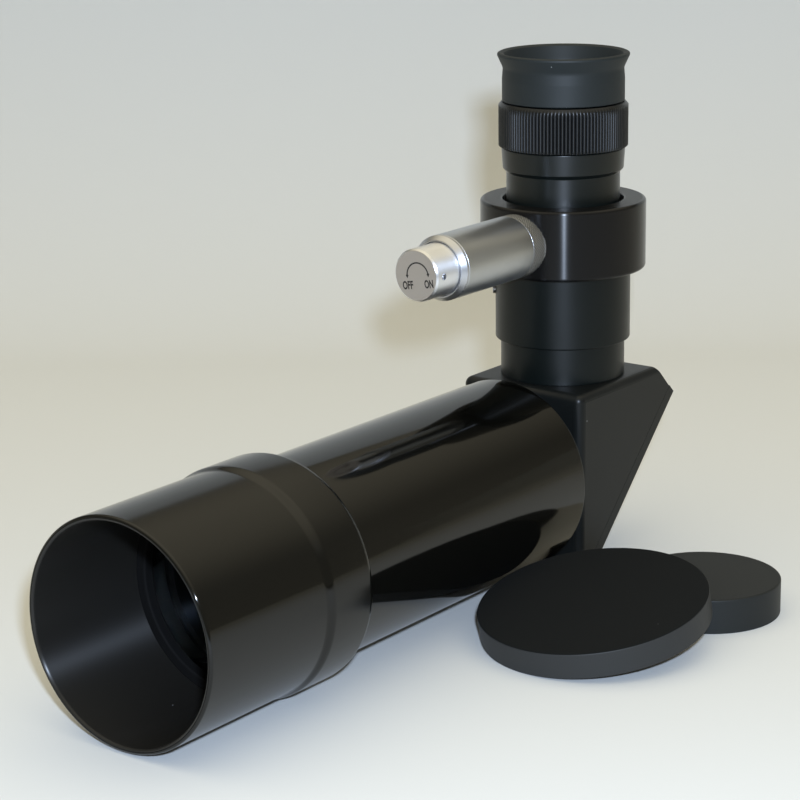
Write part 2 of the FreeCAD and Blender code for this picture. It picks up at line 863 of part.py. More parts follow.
lens_rad = lens_r - push_gap
lip_in = lens_r - eye_tube_lip
spacer_in = lens_rad - spacer_wall
top_ring_in = lens_rad - retainer_wall
field_z = eye_bottom + eye_tube_lip + stand_off(field_lens_low, lip_in)
top_ring_z = eye_top - retainer_height
eye_z = top_ring_z - stand_off(eye_lens_high, top_ring_in) - eye_lens_rim
spacer_z = field_z + field_lens_rim + stand_off(field_lens_high, spacer_in)
spacer_top = eye_z - stand_off(eye_lens_low, spacer_in)
save("field_lens", lens(field_z, field_lens_rim, lens_rad, field_lens_low, field_lens_high))
save("lens_spacer", turned_z([
    (spacer_in, spacer_z),
    (lens_rad, spacer_z),
    (lens_rad, spacer_top),
    (spacer_in, spacer_top),
]))
save("eye_lens", lens(eye_z, eye_lens_rim, lens_rad, eye_lens_low, eye_lens_high))
save("eye_lens_retainer", turned_z([
    (top_ring_in, top_ring_z),
    (lens_rad, top_ring_z),
    (lens_rad, eye_top),
    (top_ring_in, eye_top),
]))

# Rubber eyecup: grips the lens tube's flange, narrows to a waist and flares to a rounded lip

grip_r = eye_flange_r + push_gap
cup_r = grip_r + cup_grip_wall
waist_r = cup_r - cup_waist
lip_r = cup_r + cup_flare
hollow_r = cup_r - cup_wall
web_z = eye_top + push_gap
straight_z = cup_z + cup_straight
waist_z = cup_z + cup_waist_height
lip_z = cup_z + cup_lip_height
mouth_z = cup_z + cup_top
waist_start = (waist_r + cup_waist * cup_bend / (waist_z - straight_z), waist_z - cup_bend)
waist_end = (waist_r + (lip_r - waist_r) * cup_bend / (lip_z - waist_z), waist_z + cup_bend)
lip_end = (lip_r - cup_lip_round, mouth_z)
eyecup = turned_z([
    (grip_r, cup_z),
    (cup_r, cup_z),
    (cup_r, straight_z),
    waist_start,
    bend(waist_start, (waist_r, waist_z), waist_end),
    (lip_r, lip_z),
    bend((lip_r, lip_z), (lip_r, mouth_z), lip_end),
    (lip_r - cup_lip_width, mouth_z - cup_mouth_slope),
    (hollow_r, waist_z),
    (hollow_r, web_z + cup_web),
    (cup_web_bore / 2, web_z + cup_web),
    (cup_web_bore / 2, web_z),
    (grip_r, web_z),
])
save("eyecup", eyecup)

# Illuminator: lamp holder, lamp, body, cells, switch and cap ring

thread_r = lamp_thread_dia / 2
lamp_neck_r = lamp_neck_dia / 2
lamp_tip = socket_rad + lamp_tip_gap
save("lamp_holder", turned_lamp([
    (lamp_tip, lamp_bore / 2),
    (lamp_tip, thread_r),
    (spot_start, thread_r),
    (spot_start, lamp_r),
    (grip_end, lamp_r),
    (grip_end, lamp_neck_r),
    (grip_end + lamp_neck, lamp_neck_r),
    (grip_end + lamp_neck, lamp_bore / 2),
]))

led_r = led_dia / 2
led_start = lamp_tip + led_sink
led_base = led_start + led_length
led_round = (led_start + led_r, led_r)
dome_mid = led_r * math.sqrt(0.5)
save("lamp", turned_lamp([
    (led_start, 0.0),
    ((led_start + led_r - dome_mid, dome_mid), led_round),
    (led_base, led_r),
    (led_base, 0.0),
]))

neck_end = grip_end + lamp_neck
body_r = lamp_r - body_wall
save("illuminator_body", turned_lamp([
    (grip_end, lamp_neck_r + push_gap),
    (grip_end, lamp_r),
    (body_end, lamp_r),
    (body_end, body_r),
    (neck_end, body_r),
    (neck_end, lamp_neck_r + push_gap),
]))

cells = []
for i in range(cell_count):
    start = cell_start + i * (cell_thickness + cell_gap)
    cells.append(rod(cell_dia / 2, cell_thickness, V(post_x - start, 0, lamp_z), west))
save("button_cells", Part.makeCompound(cells))

coil_r = spring_coil_dia / 2
wire_r = spring_wire / 2
pitch = (spring_length - spring_wire - 2 * push_gap) / spring_turns
path = Part.makeHelix(pitch, pitch * spring_turns, coil_r)
section = Part.Wire(Part.makeCircle(wire_r, V(coil_r, 0, 0), V(0, 1, 0)))
spring = Part.Wire(path).makePipeShell([section], True, True)
spring.Placement = FreeCAD.Placement(V(post_x - neck_end - wire_r - push_gap, 0, lamp_z),
                                     FreeCAD.Rotation(V(0, 0, 1), west))
save("contact_spring", spring)

cap_in = body_r - push_gap
shaft_r = shaft_dia / 2
knob_r = knob_dia / 2
ring_floor = body_end - cap_ring_spigot
knob_seat = body_end + cap_ring_seat
save("illuminator_cap_ring", turned_lamp([
    (ring_floor, shaft_r + seat_gap),
    (ring_floor, cap_in),
    (body_end, cap_in),
    (body_end, lamp_r),
    (body_end + cap_ring_flat, lamp_r),
    (cap_ring_end, knob_r + seat_gap + cap_ring_land),
    (cap_ring_end, knob_r + seat_gap),
    (knob_seat, knob_r + seat_gap),
    (knob_seat, shaft_r + seat_gap),
]))

shaft_start = ring_floor - shaft_depth
shaft_end = knob_end - knob_face - push_gap
switch_block = rod(cap_in, switch_length, V(post_x - switch_start, 0, lamp_z), west)
shaft_hole = rod(shaft_r + run_gap, shaft_end, V(post_x - shaft_start + seat_gap, 0, lamp_z), west)
save("switch_block", switch_block.cut(shaft_hole))
switch_shaft = rod(shaft_r, shaft_end - shaft_start, V(post_x - shaft_start, 0, lamp_z), west)
flat_y = shaft_r - shaft_flat
flat_length = shaft_end - knob_start
flat = Part.makeBox(flat_length, shaft_dia, shaft_dia,
                    V(post_x - shaft_end, -flat_y - shaft_dia, lamp_z - shaft_r))
save("switch_shaft", switch_shaft.cut(flat))

# Switch knob and its grub screw

knob_floor = knob_end - knob_face
knob = turned_lamp([
    (knob_start, shaft_r + push_gap),
    (knob_start, knob_r),
    (knob_end - knob_edge, knob_r),
    (knob_end, knob_r - knob_edge),
    (knob_end, 0.0),
    (knob_floor, 0.0),
    (knob_floor, shaft_r + push_gap),
])
south = V(0, -1, 0)
knob_grub_r = knob_grub_dia / 2
knob_grub_start = V(post_x - knob_end + knob_grub_back, -flat_y - push_gap, lamp_z)
knob_grub_end = knob_grub_start + south * knob_grub_length
knob = knob.cut(rod(knob_grub_r + push_gap, knob_r, knob_grub_start, south))
save("switch_knob", knob)
knob_grub = rod(knob_grub_r, knob_grub_length, knob_grub_start, south)
save("knob_grub_screw", knob_grub.cut(hex_socket(knob_grub_key, knob_grub_key, knob_grub_end, south)))

# Dust caps: cups that lie open side down, the large one leaning on the small one


def dust_cap(inner_dia, wall, height):
    """A round cup with its closed side at the top and its mouth at z = 0."""
    inner = inner_dia / 2
    outer = inner + wall
    steps = [(0.0, height), (outer - cap_edge, height), (outer, height - cap_edge), (outer, 0.0),
             (inner, 0.0), (inner, height - wall), (0.0, height - wall)]
    face = closed_face(steps, lambda r, z: V(r, 0, z))
    return face.revolve(V(0, 0, 0), V(0, 0, 1), 360), outer


small_cap, small_outer = dust_cap(2 * (lip_r + cap_fit), small_cap_wall, small_cap_height)
big_cap, big_outer = dust_cap(hood_od + 2 * cap_fit, big_cap_wall, big_cap_height)

# the large cap's rim crosses the small one's edge at this distance from its own centre
apart = math.hypot(small_cap_ahead, small_cap_aside)
inner_rim = big_outer - big_cap_wall
crossing = (apart ** 2 + inner_rim ** 2 - small_outer ** 2) / (2 * apart)
lean = math.asin((small_cap_height + seat_gap / 2) / (big_outer + crossing))
toward = V(small_cap_ahead / apart, -small_cap_aside / apart, 0)
level = V(-toward.y, toward.x, 0)
rising = toward * math.cos(lean) + V(0, 0, math.sin(lean))
normal = toward * -math.sin(lean) + V(0, 0, math.cos(lean))

# the point of its top edge that lies nearest to the tube is kept beside it
nearest = (rising * rising.y + level * level.y).normalize()
edge = normal * big_cap_height + nearest * big_outer
big_z = floor_z + big_outer * math.sin(lean)
big_y = -math.sqrt(tube_r ** 2 - (big_z + edge.z) ** 2) - cap_beside - edge.y
big_x = post_x - big_cap_back
big_cap.rotate(V(0, 0, 0), level, -math.degrees(lean))
big_cap.translate(V(big_x, big_y, big_z))
save("objective_cap", big_cap)
small_cap.translate(V(big_x + small_cap_ahead, big_y - small_cap_aside, floor_z))
save("eyepiece_cap", small_cap)
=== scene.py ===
# %% Loading the frame
import math

import bmesh
import bpy
import numpy as np
from mathutils import Matrix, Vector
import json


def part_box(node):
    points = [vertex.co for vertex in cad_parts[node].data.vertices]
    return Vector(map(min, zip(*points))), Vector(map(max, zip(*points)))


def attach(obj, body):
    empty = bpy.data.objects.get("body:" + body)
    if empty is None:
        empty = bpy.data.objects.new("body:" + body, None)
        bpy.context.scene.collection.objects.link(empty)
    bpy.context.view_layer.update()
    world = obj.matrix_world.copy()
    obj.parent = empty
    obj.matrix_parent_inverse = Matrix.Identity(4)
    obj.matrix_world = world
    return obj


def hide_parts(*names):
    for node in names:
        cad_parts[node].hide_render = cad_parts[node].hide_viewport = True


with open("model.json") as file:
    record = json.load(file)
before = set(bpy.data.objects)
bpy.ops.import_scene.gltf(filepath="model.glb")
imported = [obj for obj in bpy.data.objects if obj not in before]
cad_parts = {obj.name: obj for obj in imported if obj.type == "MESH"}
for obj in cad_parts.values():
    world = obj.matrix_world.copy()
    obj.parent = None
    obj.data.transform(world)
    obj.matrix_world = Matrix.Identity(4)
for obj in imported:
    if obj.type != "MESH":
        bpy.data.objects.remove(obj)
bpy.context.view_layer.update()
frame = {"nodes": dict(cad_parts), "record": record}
nodes = frame["nodes"]
print("CAD nodes:", len(nodes))

# %% [markdown]
# ## Sizes
#
# The finder's metal parts are nearly all turned on a lathe, so a piece is known once its outline in half
# section is known. The overall places come from the loaded frame, so that the shiny skins made here stay
# on the solids that carry them. Lengths below are in millimetres, which a maker would read off a drawing,
# and one factor turns them into Blender's metres.

# %% Places read from the frame
MM = 0.001


def box_mm(node):
    """Lowest and highest corner of a node, in millimetres."""
    low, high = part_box(node)
    return np.array(low) / MM, np.array(high) / MM


cell_low, cell_high = box_mm("objective_cell")
tube_low, tube_high = box_mm("main_tube")
house_low, house_high = box_mm("prism_housing")
neck_low, neck_high = box_mm("eyepiece_neck")
sleeve_low, sleeve_high = box_mm("eyepiece_sleeve")
collar_low, collar_high = box_mm("illuminator_collar")
barrel_low, barrel_high = box_mm("eyepiece_barrel")
ring_low, ring_high = box_mm("focus_ring")
cup_low, cup_high = box_mm("eyecup")
grip_high = box_mm("lamp_holder")[1]
body_low, body_high = box_mm("illuminator_body")
cap_ring_low = box_mm("illuminator_cap_ring")[0]
knob_low, knob_high = box_mm("switch_knob")
small_cap_low, small_cap_high = box_mm("eyepiece_cap")
big_cap_low, big_cap_high = box_mm("objective_cap")

post_x = (neck_low[0] + neck_high[0]) / 2
lamp_z = (knob_low[2] + knob_high[2]) / 2
floor_z = cell_low[2]
tube_r = tube_high[2]
print("post at", round(post_x, 2), "lamp axis at", round(lamp_z, 2), "floor at", round(floor_z, 2))

# %% [markdown]
# ## Turned surfaces
#
# A turned piece could be made with the Screw modifier or with a spin. Here it is a function of two
# parameters instead: the first runs along the half section, the second round the axis. The whole grid of
# points is one numpy array, so the edge radii, the number of steps and a knurl are only changes to a
# formula. Real edges are never knife sharp: each corner of the outline is replaced by a small arc, which
# is what catches the light.

# %% Rounded outlines


def rounded(corners, steps=5, guard=0.12):
    """Outline in half section with rounded corners.

    corners is a list of (a, r, q): distance along the axis, distance from it, and edge radius q.
    At a corner with interior angle w the arc starts q / tan(w / 2) from the corner, and its centre lies
    q / sin(w / 2) from it on the bisector. Guard points beside each arc keep the flats flat when shaded.
    """
    points = np.array([c[:2] for c in corners], float)
    radii = [c[2] if len(c) > 2 else 0.0 for c in corners]
    count = len(points)
    out = []
    for i in range(count):
        here = points[i]
        back = points[i - 1] - here
        ahead = points[(i + 1) % count] - here
        q = radii[i]
        if q <= 0.0:
            out.append(here[None])
            continue
        length_back = np.linalg.norm(back)
        length_ahead = np.linalg.norm(ahead)
        u = back / length_back
        v = ahead / length_ahead
        w = math.acos(float(np.clip(u @ v, -1, 1)))
        trim = q / math.tan(w / 2)
        centre = here + (u + v) / np.linalg.norm(u + v) * q / math.sin(w / 2)
        d0 = (here + u * trim - centre) / q
        d1 = (here + v * trim - centre) / q
        t = np.linspace(0, 1, steps + 1)[:, None]
        span = math.pi - w
        arc = centre + q * (np.sin((1 - t) * span) * d0 + np.sin(t * span) * d1) / math.sin(span)
        if length_back > trim + 3 * guard:
            out.append((here + u * (trim + guard))[None])
        out.append(arc)
        if length_ahead > trim + 3 * guard:
            out.append((here + v * (trim + guard))[None])
    return np.concatenate(out)


# %% Grids into meshes


def grid_piece(name, points, body, material, replaced=(), closed=(True, True), sharp=40.0):
    """Makes a mesh from a grid of points with shape (rows, columns, 3), in millimetres.

    Faces join (i, j), (i, j + 1), (i + 1, j + 1), (i + 1, j). A closed direction joins its last line to
    its first. Rows that shrink to a point are merged, and the faces are turned outwards by the sign of the
    volume, the sum of p0 . (p1 x p2) / 6 over all triangles.
    """
    rows, columns = points.shape[:2]
    i = np.arange(rows if closed[0] else rows - 1)
    j = np.arange(columns if closed[1] else columns - 1)
    ii, jj = np.meshgrid(i, j, indexing="ij")
    i2 = (ii + 1) % rows
    j2 = (jj + 1) % columns
    faces = np.stack([ii * columns + jj, ii * columns + j2, i2 * columns + j2, i2 * columns + jj], -1)
    faces = faces.reshape(-1, 4)
    flat = points.reshape(-1, 3) * MM
    a, b, c, d = (flat[faces[:, k]] for k in range(4))
    volume = np.sum(np.cross(a, b) * c) + np.sum(np.cross(a, c) * d)
    if volume < 0:
        faces = faces[:, ::-1]
    mesh = bpy.data.meshes.new(name)
    mesh.from_pydata(flat.tolist(), [], faces.tolist())
    return finish_mesh(name, mesh, body, material, replaced, sharp)


def finish_mesh(name, mesh, body, material, replaced=(), sharp=40.0):
    """Merges doubles, shades the mesh smooth up to the sharp angle, and ties it to its body."""
    bm = bmesh.new()
    bm.from_mesh(mesh)
    bmesh.ops.remove_doubles(bm, verts=bm.verts, dist=1e-7)
    bmesh.ops.dissolve_degenerate(bm, edges=bm.edges, dist=1e-8)
    bm.to_mesh(mesh)
    bm.free()
    mesh.shade_smooth()
    mesh.set_sharp_from_angle(angle=math.radians(sharp))
    mesh.materials.append(material)
    piece = bpy.data.objects.new(name, mesh)
    bpy.context.scene.collection.objects.link(piece)
    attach(piece, body)
    if replaced:
        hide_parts(*replaced)
    print(name, "has", len(mesh.polygons), "faces")
    return piece


# %% Sweeping an outline round an axis
ALONG_X = (np.zeros(3), np.array([1.0, 0, 0]), np.array([0, 1.0, 0]), np.array([0, 0, 1.0]))
ALONG_POST = (np.array([post_x, 0, 0]), np.array([0, 0, 1.0]), np.array([1.0, 0, 0]), np.array([0, 1.0, 0]))
ALONG_LAMP = (np.array([post_x, 0, lamp_z]), np.array([-1.0, 0, 0]), np.array([0, 1.0, 0]),
              np.array([0, 0, 1.0]))


def sweep(outline, frame_of_axis, around=192, relief=None):
    """Grid of points p = o + a k + r (cos t e1 + sin t e2) for an outline of (a, r).

    relief(a, r, t) is subtracted from the radius, for a knurl.
    """
    origin, axis, e1, e2 = frame_of_axis
    t = np.linspace(0, 2 * math.pi, around, endpoint=False)[None, :]
    a = outline[:, 0][:, None] + 0 * t
    r = outline[:, 1][:, None] + 0 * t
    if relief is not None:
        r = r - relief(a, r, t)
    ring = np.cos(t)[..., None] * e1 + np.sin(t)[..., None] * e2
    return origin + a[..., None] * axis + r[..., None] * ring


# %% [markdown]
# ## Shader groups
#
# Three effects are on nearly every surface: a fine grain in the paint or the anodising, the closely spaced
# rings that a lathe tool leaves, and specks of dust. Each is a node group with named inputs, so a finish is
# made by placing a group with its own values. They read Object coordinates, which are metres here, so a
# scale of 1000 means detail of about a millimetre.

# %% A helper for groups


def new_group(name, inputs, outputs):
    """A shader group with float or vector inputs, given as (name, kind, default), and outputs."""
    group = bpy.data.node_groups.new(name, "ShaderNodeTree")
    for label, kind, default in inputs:
        socket = group.interface.new_socket(label, in_out="INPUT", socket_type=kind)
        if default is not None:
            socket.default_value = default
    for label, kind in outputs:
        group.interface.new_socket(label, in_out="OUTPUT", socket_type=kind)
    return group, group.nodes.new("NodeGroupInput"), group.nodes.new("NodeGroupOutput")


def math_node(tree, operation, a, b=None):
    """A Math node, with sockets linked and numbers set."""
    node = tree.nodes.new("ShaderNodeMath")
    node.operation = operation
    for k, value in enumerate((a, b)):
        if value is None:
            continue
        if isinstance(value, (int, float)):
            node.inputs[k].default_value = value
        else:
            tree.links.new(value, node.inputs[k])
    return node.outputs[0]


# %% Fine grain: two sizes of noise, added
grain, g_in, g_out = new_group(
    "fine_grain",
    [("Vector", "NodeSocketVector", None), ("Scale", "NodeSocketFloat", 2500.0)],
    [("Height", "NodeSocketFloat"), ("Cloud", "NodeSocketFloat")],
)
small = grain.nodes.new("ShaderNodeTexNoise")
small.inputs["Detail"].default_value = 3.0
grain.links.new(g_in.outputs["Vector"], small.inputs["Vector"])
grain.links.new(g_in.outputs["Scale"], small.inputs["Scale"])
large = grain.nodes.new("ShaderNodeTexNoise")
large.inputs["Detail"].default_value = 2.0
grain.links.new(g_in.outputs["Vector"], large.inputs["Vector"])
grain.links.new(math_node(grain, "MULTIPLY", g_in.outputs["Scale"], 0.03), large.inputs["Scale"])
grain.links.new(small.outputs["Fac"], g_out.inputs["Height"])
grain.links.new(large.outputs["Fac"], g_out.inputs["Cloud"])

# %% Lathe rings: noise that depends only on the distance along the axis
lathe, l_in, l_out = new_group(
    "lathe_rings",
    [("Along", "NodeSocketFloat", 0.0), ("Scale", "NodeSocketFloat", 6000.0)],
    [("Height", "NodeSocketFloat")],
)
rings = lathe.nodes.new("ShaderNodeTexNoise")
rings.noise_dimensions = "1D"
rings.inputs["Detail"].default_value = 2.0
lathe.links.new(l_in.outputs["Along"], rings.inputs["W"])
lathe.links.new(l_in.outputs["Scale"], rings.inputs["Scale"])
lathe.links.new(rings.outputs["Fac"], l_out.inputs["Height"])

# %% Dust: round spots in a few of the cells of a Voronoi pattern
dust, d_in, d_out = new_group(
    "dust_specks",
    [("Vector", "NodeSocketVector", None), ("Scale", "NodeSocketFloat", 260.0),
     ("Share", "NodeSocketFloat", 0.1), ("Size", "NodeSocketFloat", 0.05)],
    [("Mask", "NodeSocketFloat")],
)
cells = dust.nodes.new("ShaderNodeTexVoronoi")
dust.links.new(d_in.outputs["Vector"], cells.inputs["Vector"])
dust.links.new(d_in.outputs["Scale"], cells.inputs["Scale"])
lot = dust.nodes.new("ShaderNodeSeparateColor")
dust.links.new(cells.outputs["Color"], lot.inputs[0])
near = math_node(dust, "LESS_THAN", cells.outputs["Distance"],
                 math_node(dust, "MULTIPLY", d_in.outputs["Size"], lot.outputs[1]))
chosen = math_node(dust, "LESS_THAN", lot.outputs[0], d_in.outputs["Share"])
dust.links.new(math_node(dust, "MULTIPLY", near, chosen), d_out.inputs["Mask"])

# %% Two masks: beyond a plane, and within a radius of the tube's axis
plane, p_in, p_out = new_group(
    "beyond_plane",
    [("Vector", "NodeSocketVector", None), ("Direction", "NodeSocketVector", None),
     ("Distance", "NodeSocketFloat", 0.0)],
    [("Mask", "NodeSocketFloat")],
)
reach = plane.nodes.new("ShaderNodeVectorMath")
reach.operation = "DOT_PRODUCT"
plane.links.new(p_in.outputs["Vector"], reach.inputs[0])
plane.links.new(p_in.outputs["Direction"], reach.inputs[1])
plane.links.new(math_node(plane, "GREATER_THAN", reach.outputs["Value"], p_in.outputs["Distance"]),
                p_out.inputs["Mask"])

inside, i_in, i_out = new_group(
    "inside_tube",
    [("Vector", "NodeSocketVector", None), ("Radius", "NodeSocketFloat", 0.02)],
    [("Mask", "NodeSocketFloat")],
)
across_axis = inside.nodes.new("ShaderNodeVectorMath")
across_axis.operation = "MULTIPLY"
across_axis.inputs[1].default_value = (0, 1, 1)
inside.links.new(i_in.outputs["Vector"], across_axis.inputs[0])
from_axis = inside.nodes.new("ShaderNodeVectorMath")
from_axis.operation = "LENGTH"
inside.links.new(across_axis.outputs[0], from_axis.inputs[0])
inside.links.new(math_node(inside, "LESS_THAN", from_axis.outputs["Value"], i_in.outputs["Radius"]),
                 i_out.inputs["Mask"])

# %% [markdown]
# ## Finishes
#
# Black paint, black anodising, rubber and matt plastic differ less in colour than in gloss: the colour is
# almost black on all, and the roughness and the grain tell them apart. So one function makes them all from
# a few numbers, and each finish is one call.

# %% The finish function


def color_blend(tree, mask, first, other):
    """A colour that is first where the mask is 0 and other where it is 1; first may be a socket."""
    mix = tree.nodes.new("ShaderNodeMix")
    mix.data_type = "RGBA"
    if isinstance(first, tuple):
        mix.inputs["A"].default_value = (*first, 1.0)
    else:
        tree.links.new(first, mix.inputs["A"])
    mix.inputs["B"].default_value = (*other, 1.0)
    tree.links.new(mask, mix.inputs["Factor"])
    return mix.outputs["Result"]


def value_blend(tree, mask, first, other):
    """A value that is first where the mask is 0 and other where it is 1; first may be a socket."""
    step = math_node(tree, "SUBTRACT", other, first)
    blend = math_node(tree, "MULTIPLY_ADD", mask, step)
    if isinstance(first, float):
        blend.node.inputs[2].default_value = first
    else:
        tree.links.new(first, blend.node.inputs[2])
    return blend


def finish(name, color, rough, metallic=0.0, grain_scale=2500.0, bump=0.0, cloud=0.0, axis=None,
           ring_bump=0.0, streak=0.0, specks=0.0, speck_scale=260.0, spec=0.5, part=None, other=None):
    """A Principled material whose roughness is rough +- cloud and whose height is grain plus rings.

    streak, from 0 to 1, is the anisotropy that fine turning marks round the given axis cause: light spreads
    along the axis and stays narrow round it. part, (group, {input: value}), picks a part of the piece by a
    mask, and other, (color, rough), is how that part looks.
    """
    material = bpy.data.materials.new(name)
    material.use_nodes = True
    tree = material.node_tree
    shader = tree.nodes["Principled BSDF"]
    shader.inputs["Base Color"].default_value = (*color, 1.0)
    shader.inputs["Metallic"].default_value = metallic
    shader.inputs["Specular IOR Level"].default_value = spec
    shader.inputs["Anisotropic"].default_value = streak
    where = tree.nodes.new("ShaderNodeTexCoord").outputs["Object"]
    fine = tree.nodes.new("ShaderNodeGroup")
    fine.node_tree = grain
    fine.inputs["Scale"].default_value = grain_scale
    tree.links.new(where, fine.inputs["Vector"])
    spread = math_node(tree, "MULTIPLY_ADD", fine.outputs["Cloud"], 2 * cloud)
    spread.node.inputs[2].default_value = rough - cloud
    paint = color
    if part is not None:
        picked = tree.nodes.new("ShaderNodeGroup")
        picked.node_tree = part[0]
        for label, value in part[1].items():
            picked.inputs[label].default_value = value
        tree.links.new(where, picked.inputs["Vector"])
        mask = picked.outputs["Mask"]
        spread = value_blend(tree, mask, spread, other[1])
        paint = color_blend(tree, mask, color, other[0])
        tree.links.new(paint, shader.inputs["Base Color"])
    height = math_node(tree, "MULTIPLY", fine.outputs["Height"], bump)
    if axis is not None:
        split = tree.nodes.new("ShaderNodeSeparateXYZ")
        tree.links.new(where, split.inputs[0])
        tool = tree.nodes.new("ShaderNodeGroup")
        tool.node_tree = lathe
        tree.links.new(split.outputs[axis], tool.inputs["Along"])
        height = math_node(tree, "ADD", height,
                           math_node(tree, "MULTIPLY", tool.outputs["Height"], ring_bump))
        along = tree.nodes.new("ShaderNodeCombineXYZ")
        along.inputs[axis].default_value = 1.0
        tree.links.new(along.outputs[0], shader.inputs["Tangent"])
    relief = tree.nodes.new("ShaderNodeBump")
    relief.inputs["Strength"].default_value = 1.0
    relief.inputs["Distance"].default_value = 1.0
    tree.links.new(height, relief.inputs["Height"])
    tree.links.new(relief.outputs["Normal"], shader.inputs["Normal"])
    if specks:
        spots = tree.nodes.new("ShaderNodeGroup")
        spots.node_tree = dust
        spots.inputs["Scale"].default_value = speck_scale
        spots.inputs["Share"].default_value = specks
        tree.links.new(where, spots.inputs["Vector"])
        dusty = color_blend(tree, spots.outputs["Mask"], paint, (0.55, 0.56, 0.58))
        tree.links.new(dusty, shader.inputs["Base Color"])
        spread = math_node(tree, "MAXIMUM", spread,
                           math_node(tree, "MULTIPLY", spots.outputs["Mask"], 0.8))
    tree.links.new(spread, shader.inputs["Roughness"])
    return material


# %% Glass


def glass(name, color, tint, ior=1.52):
    """Clear glass: full transmission, no roughness, and a reflection tinted by the coating."""
    material = bpy.data.materials.new(name)
    material.use_nodes = True
    tree = material.node_tree
    shader = tree.nodes["Principled BSDF"]
    shader.inputs["Base Color"].default_value = (*color, 1.0)
    shader.inputs["Roughness"].default_value = 0.0
    shader.inputs["Transmission Weight"].default_value = 1.0
    shader.inputs["IOR"].default_value = ior
    shader.inputs["Specular Tint"].default_value = (*tint, 1.0)
    shader.inputs["Specular IOR Level"].default_value = 0.2
    where = tree.nodes.new("ShaderNodeTexCoord").outputs["Object"]
    fine = tree.nodes.new("ShaderNodeGroup")
    fine.node_tree = grain
    fine.inputs["Scale"].default_value = 900.0
    tree.links.new(where, fine.inputs["Vector"])
    relief = tree.nodes.new("ShaderNodeBump")
    relief.inputs["Distance"].default_value = 1.0
    tree.links.new(math_node(tree, "MULTIPLY", fine.outputs["Height"], 1e-7), relief.inputs["Height"])
    tree.links.new(relief.outputs["Normal"], shader.inputs["Normal"])
    return material


# %% Every finish of the finder
X, Z = 0, 2
finishes = {
    "gloss_black_paint": finish("gloss_black_paint", (0.002, 0.002, 0.0016), 0.08, bump=4e-6,
                                grain_scale=220.0, cloud=0.02, specks=0.05, spec=0.45),
    "satin_black_paint": finish("satin_black_paint", (0.006, 0.007, 0.007), 0.36, bump=6e-6,
                                grain_scale=1400.0, cloud=0.05, specks=0.02, spec=0.22),
    "matt_black_paint": finish("matt_black_paint", (0.004, 0.004, 0.004), 0.8, bump=2e-5,
                               grain_scale=4000.0, cloud=0.05, spec=0.1),
    "black_anodised": finish("black_anodised", (0.003, 0.005, 0.005), 0.37, bump=1.6e-5,
                             grain_scale=3500.0, cloud=0.06, axis=Z, ring_bump=2e-6, streak=0.4,
                             specks=0.015, spec=0.25),
    "collar_black": finish("collar_black", (0.003, 0.003, 0.0033), 0.25, bump=1.5e-6,
                           grain_scale=2500.0, cloud=0.03, axis=Z, ring_bump=1e-6, streak=1.0, spec=0.3),
    "knurled_black": finish("knurled_black", (0.003, 0.004, 0.005), 0.36, bump=8e-6,
                            grain_scale=5000.0, cloud=0.05, axis=Z, ring_bump=4e-6, streak=0.6,
                            specks=0.03, speck_scale=400.0, spec=0.4),
    "satin_silver": finish("satin_silver", (0.56, 0.58, 0.61), 0.36, metallic=1.0, bump=3e-6,
                           grain_scale=9000.0, cloud=0.04, axis=X, ring_bump=2e-6),
    "bright_silver": finish("bright_silver", (0.56, 0.57, 0.6), 0.38, metallic=1.0, bump=2e-6,
                            grain_scale=6000.0, cloud=0.03, axis=X, ring_bump=2e-6, streak=0.6),
    "bright_nosepiece": finish("bright_nosepiece", (0.75, 0.75, 0.76), 0.25, metallic=1.0, bump=1e-6,
                               grain_scale=6000.0, cloud=0.03, axis=Z, ring_bump=2e-6),
    "prism_saddle": finish("prism_saddle", (0.4, 0.4, 0.41), 0.45, metallic=1.0, bump=5e-6,
                           grain_scale=3000.0, cloud=0.05),
    "steel_screws": finish("steel_screws", (0.42, 0.42, 0.44), 0.32, metallic=1.0, bump=2e-6,
                           grain_scale=6000.0, cloud=0.05),
    "black_screws": finish("black_screws", (0.03, 0.03, 0.032), 0.35, metallic=0.6, bump=4e-6,
                           grain_scale=6000.0, cloud=0.05),
    "cell_steel": finish("cell_steel", (0.7, 0.7, 0.7), 0.22, metallic=1.0, bump=1e-6,
                         grain_scale=6000.0, cloud=0.04),
    "spring_steel": finish("spring_steel", (0.6, 0.58, 0.52), 0.25, metallic=1.0, bump=1e-6,
                           grain_scale=6000.0, cloud=0.04),
    "cap_plastic": finish("cap_plastic", (0.008, 0.009, 0.009), 0.5, bump=1.2e-5,
                          grain_scale=3500.0, cloud=0.05, specks=0.02, spec=0.35),
    "switch_plastic": finish("switch_plastic", (0.03, 0.03, 0.03), 0.5, bump=1e-5,
                             grain_scale=3000.0, cloud=0.05),
    "red_lamp": finish("red_lamp", (0.5, 0.02, 0.012), 0.08, bump=1e-7, grain_scale=900.0, cloud=0.02),
    "cup_rubber": finish("cup_rubber", (0.013, 0.017, 0.018), 0.55, bump=1.2e-5,
                         grain_scale=3000.0, cloud=0.06, specks=0.03, speck_scale=300.0, spec=0.3),
    "coated_glass": glass("coated_glass", (0.97, 0.99, 1.0), (0.45, 0.6, 0.75), ior=1.16),
    "clear_glass": glass("clear_glass", (0.98, 1.0, 1.0), (1.0, 1.0, 1.0)),
    "prism_glass": glass("prism_glass", (0.97, 0.99, 0.99), (1.0, 1.0, 1.0), ior=1.57),
}
slot_of = {s["node"]: s["material_slot"] for s in frame["record"]["subparts"]}
for node, obj in nodes.items():
    obj.data.materials.clear()
    obj.data.materials.append(finishes[slot_of[node]])
print("finishes:", len(finishes))

# %% A turned piece in the finish of its node


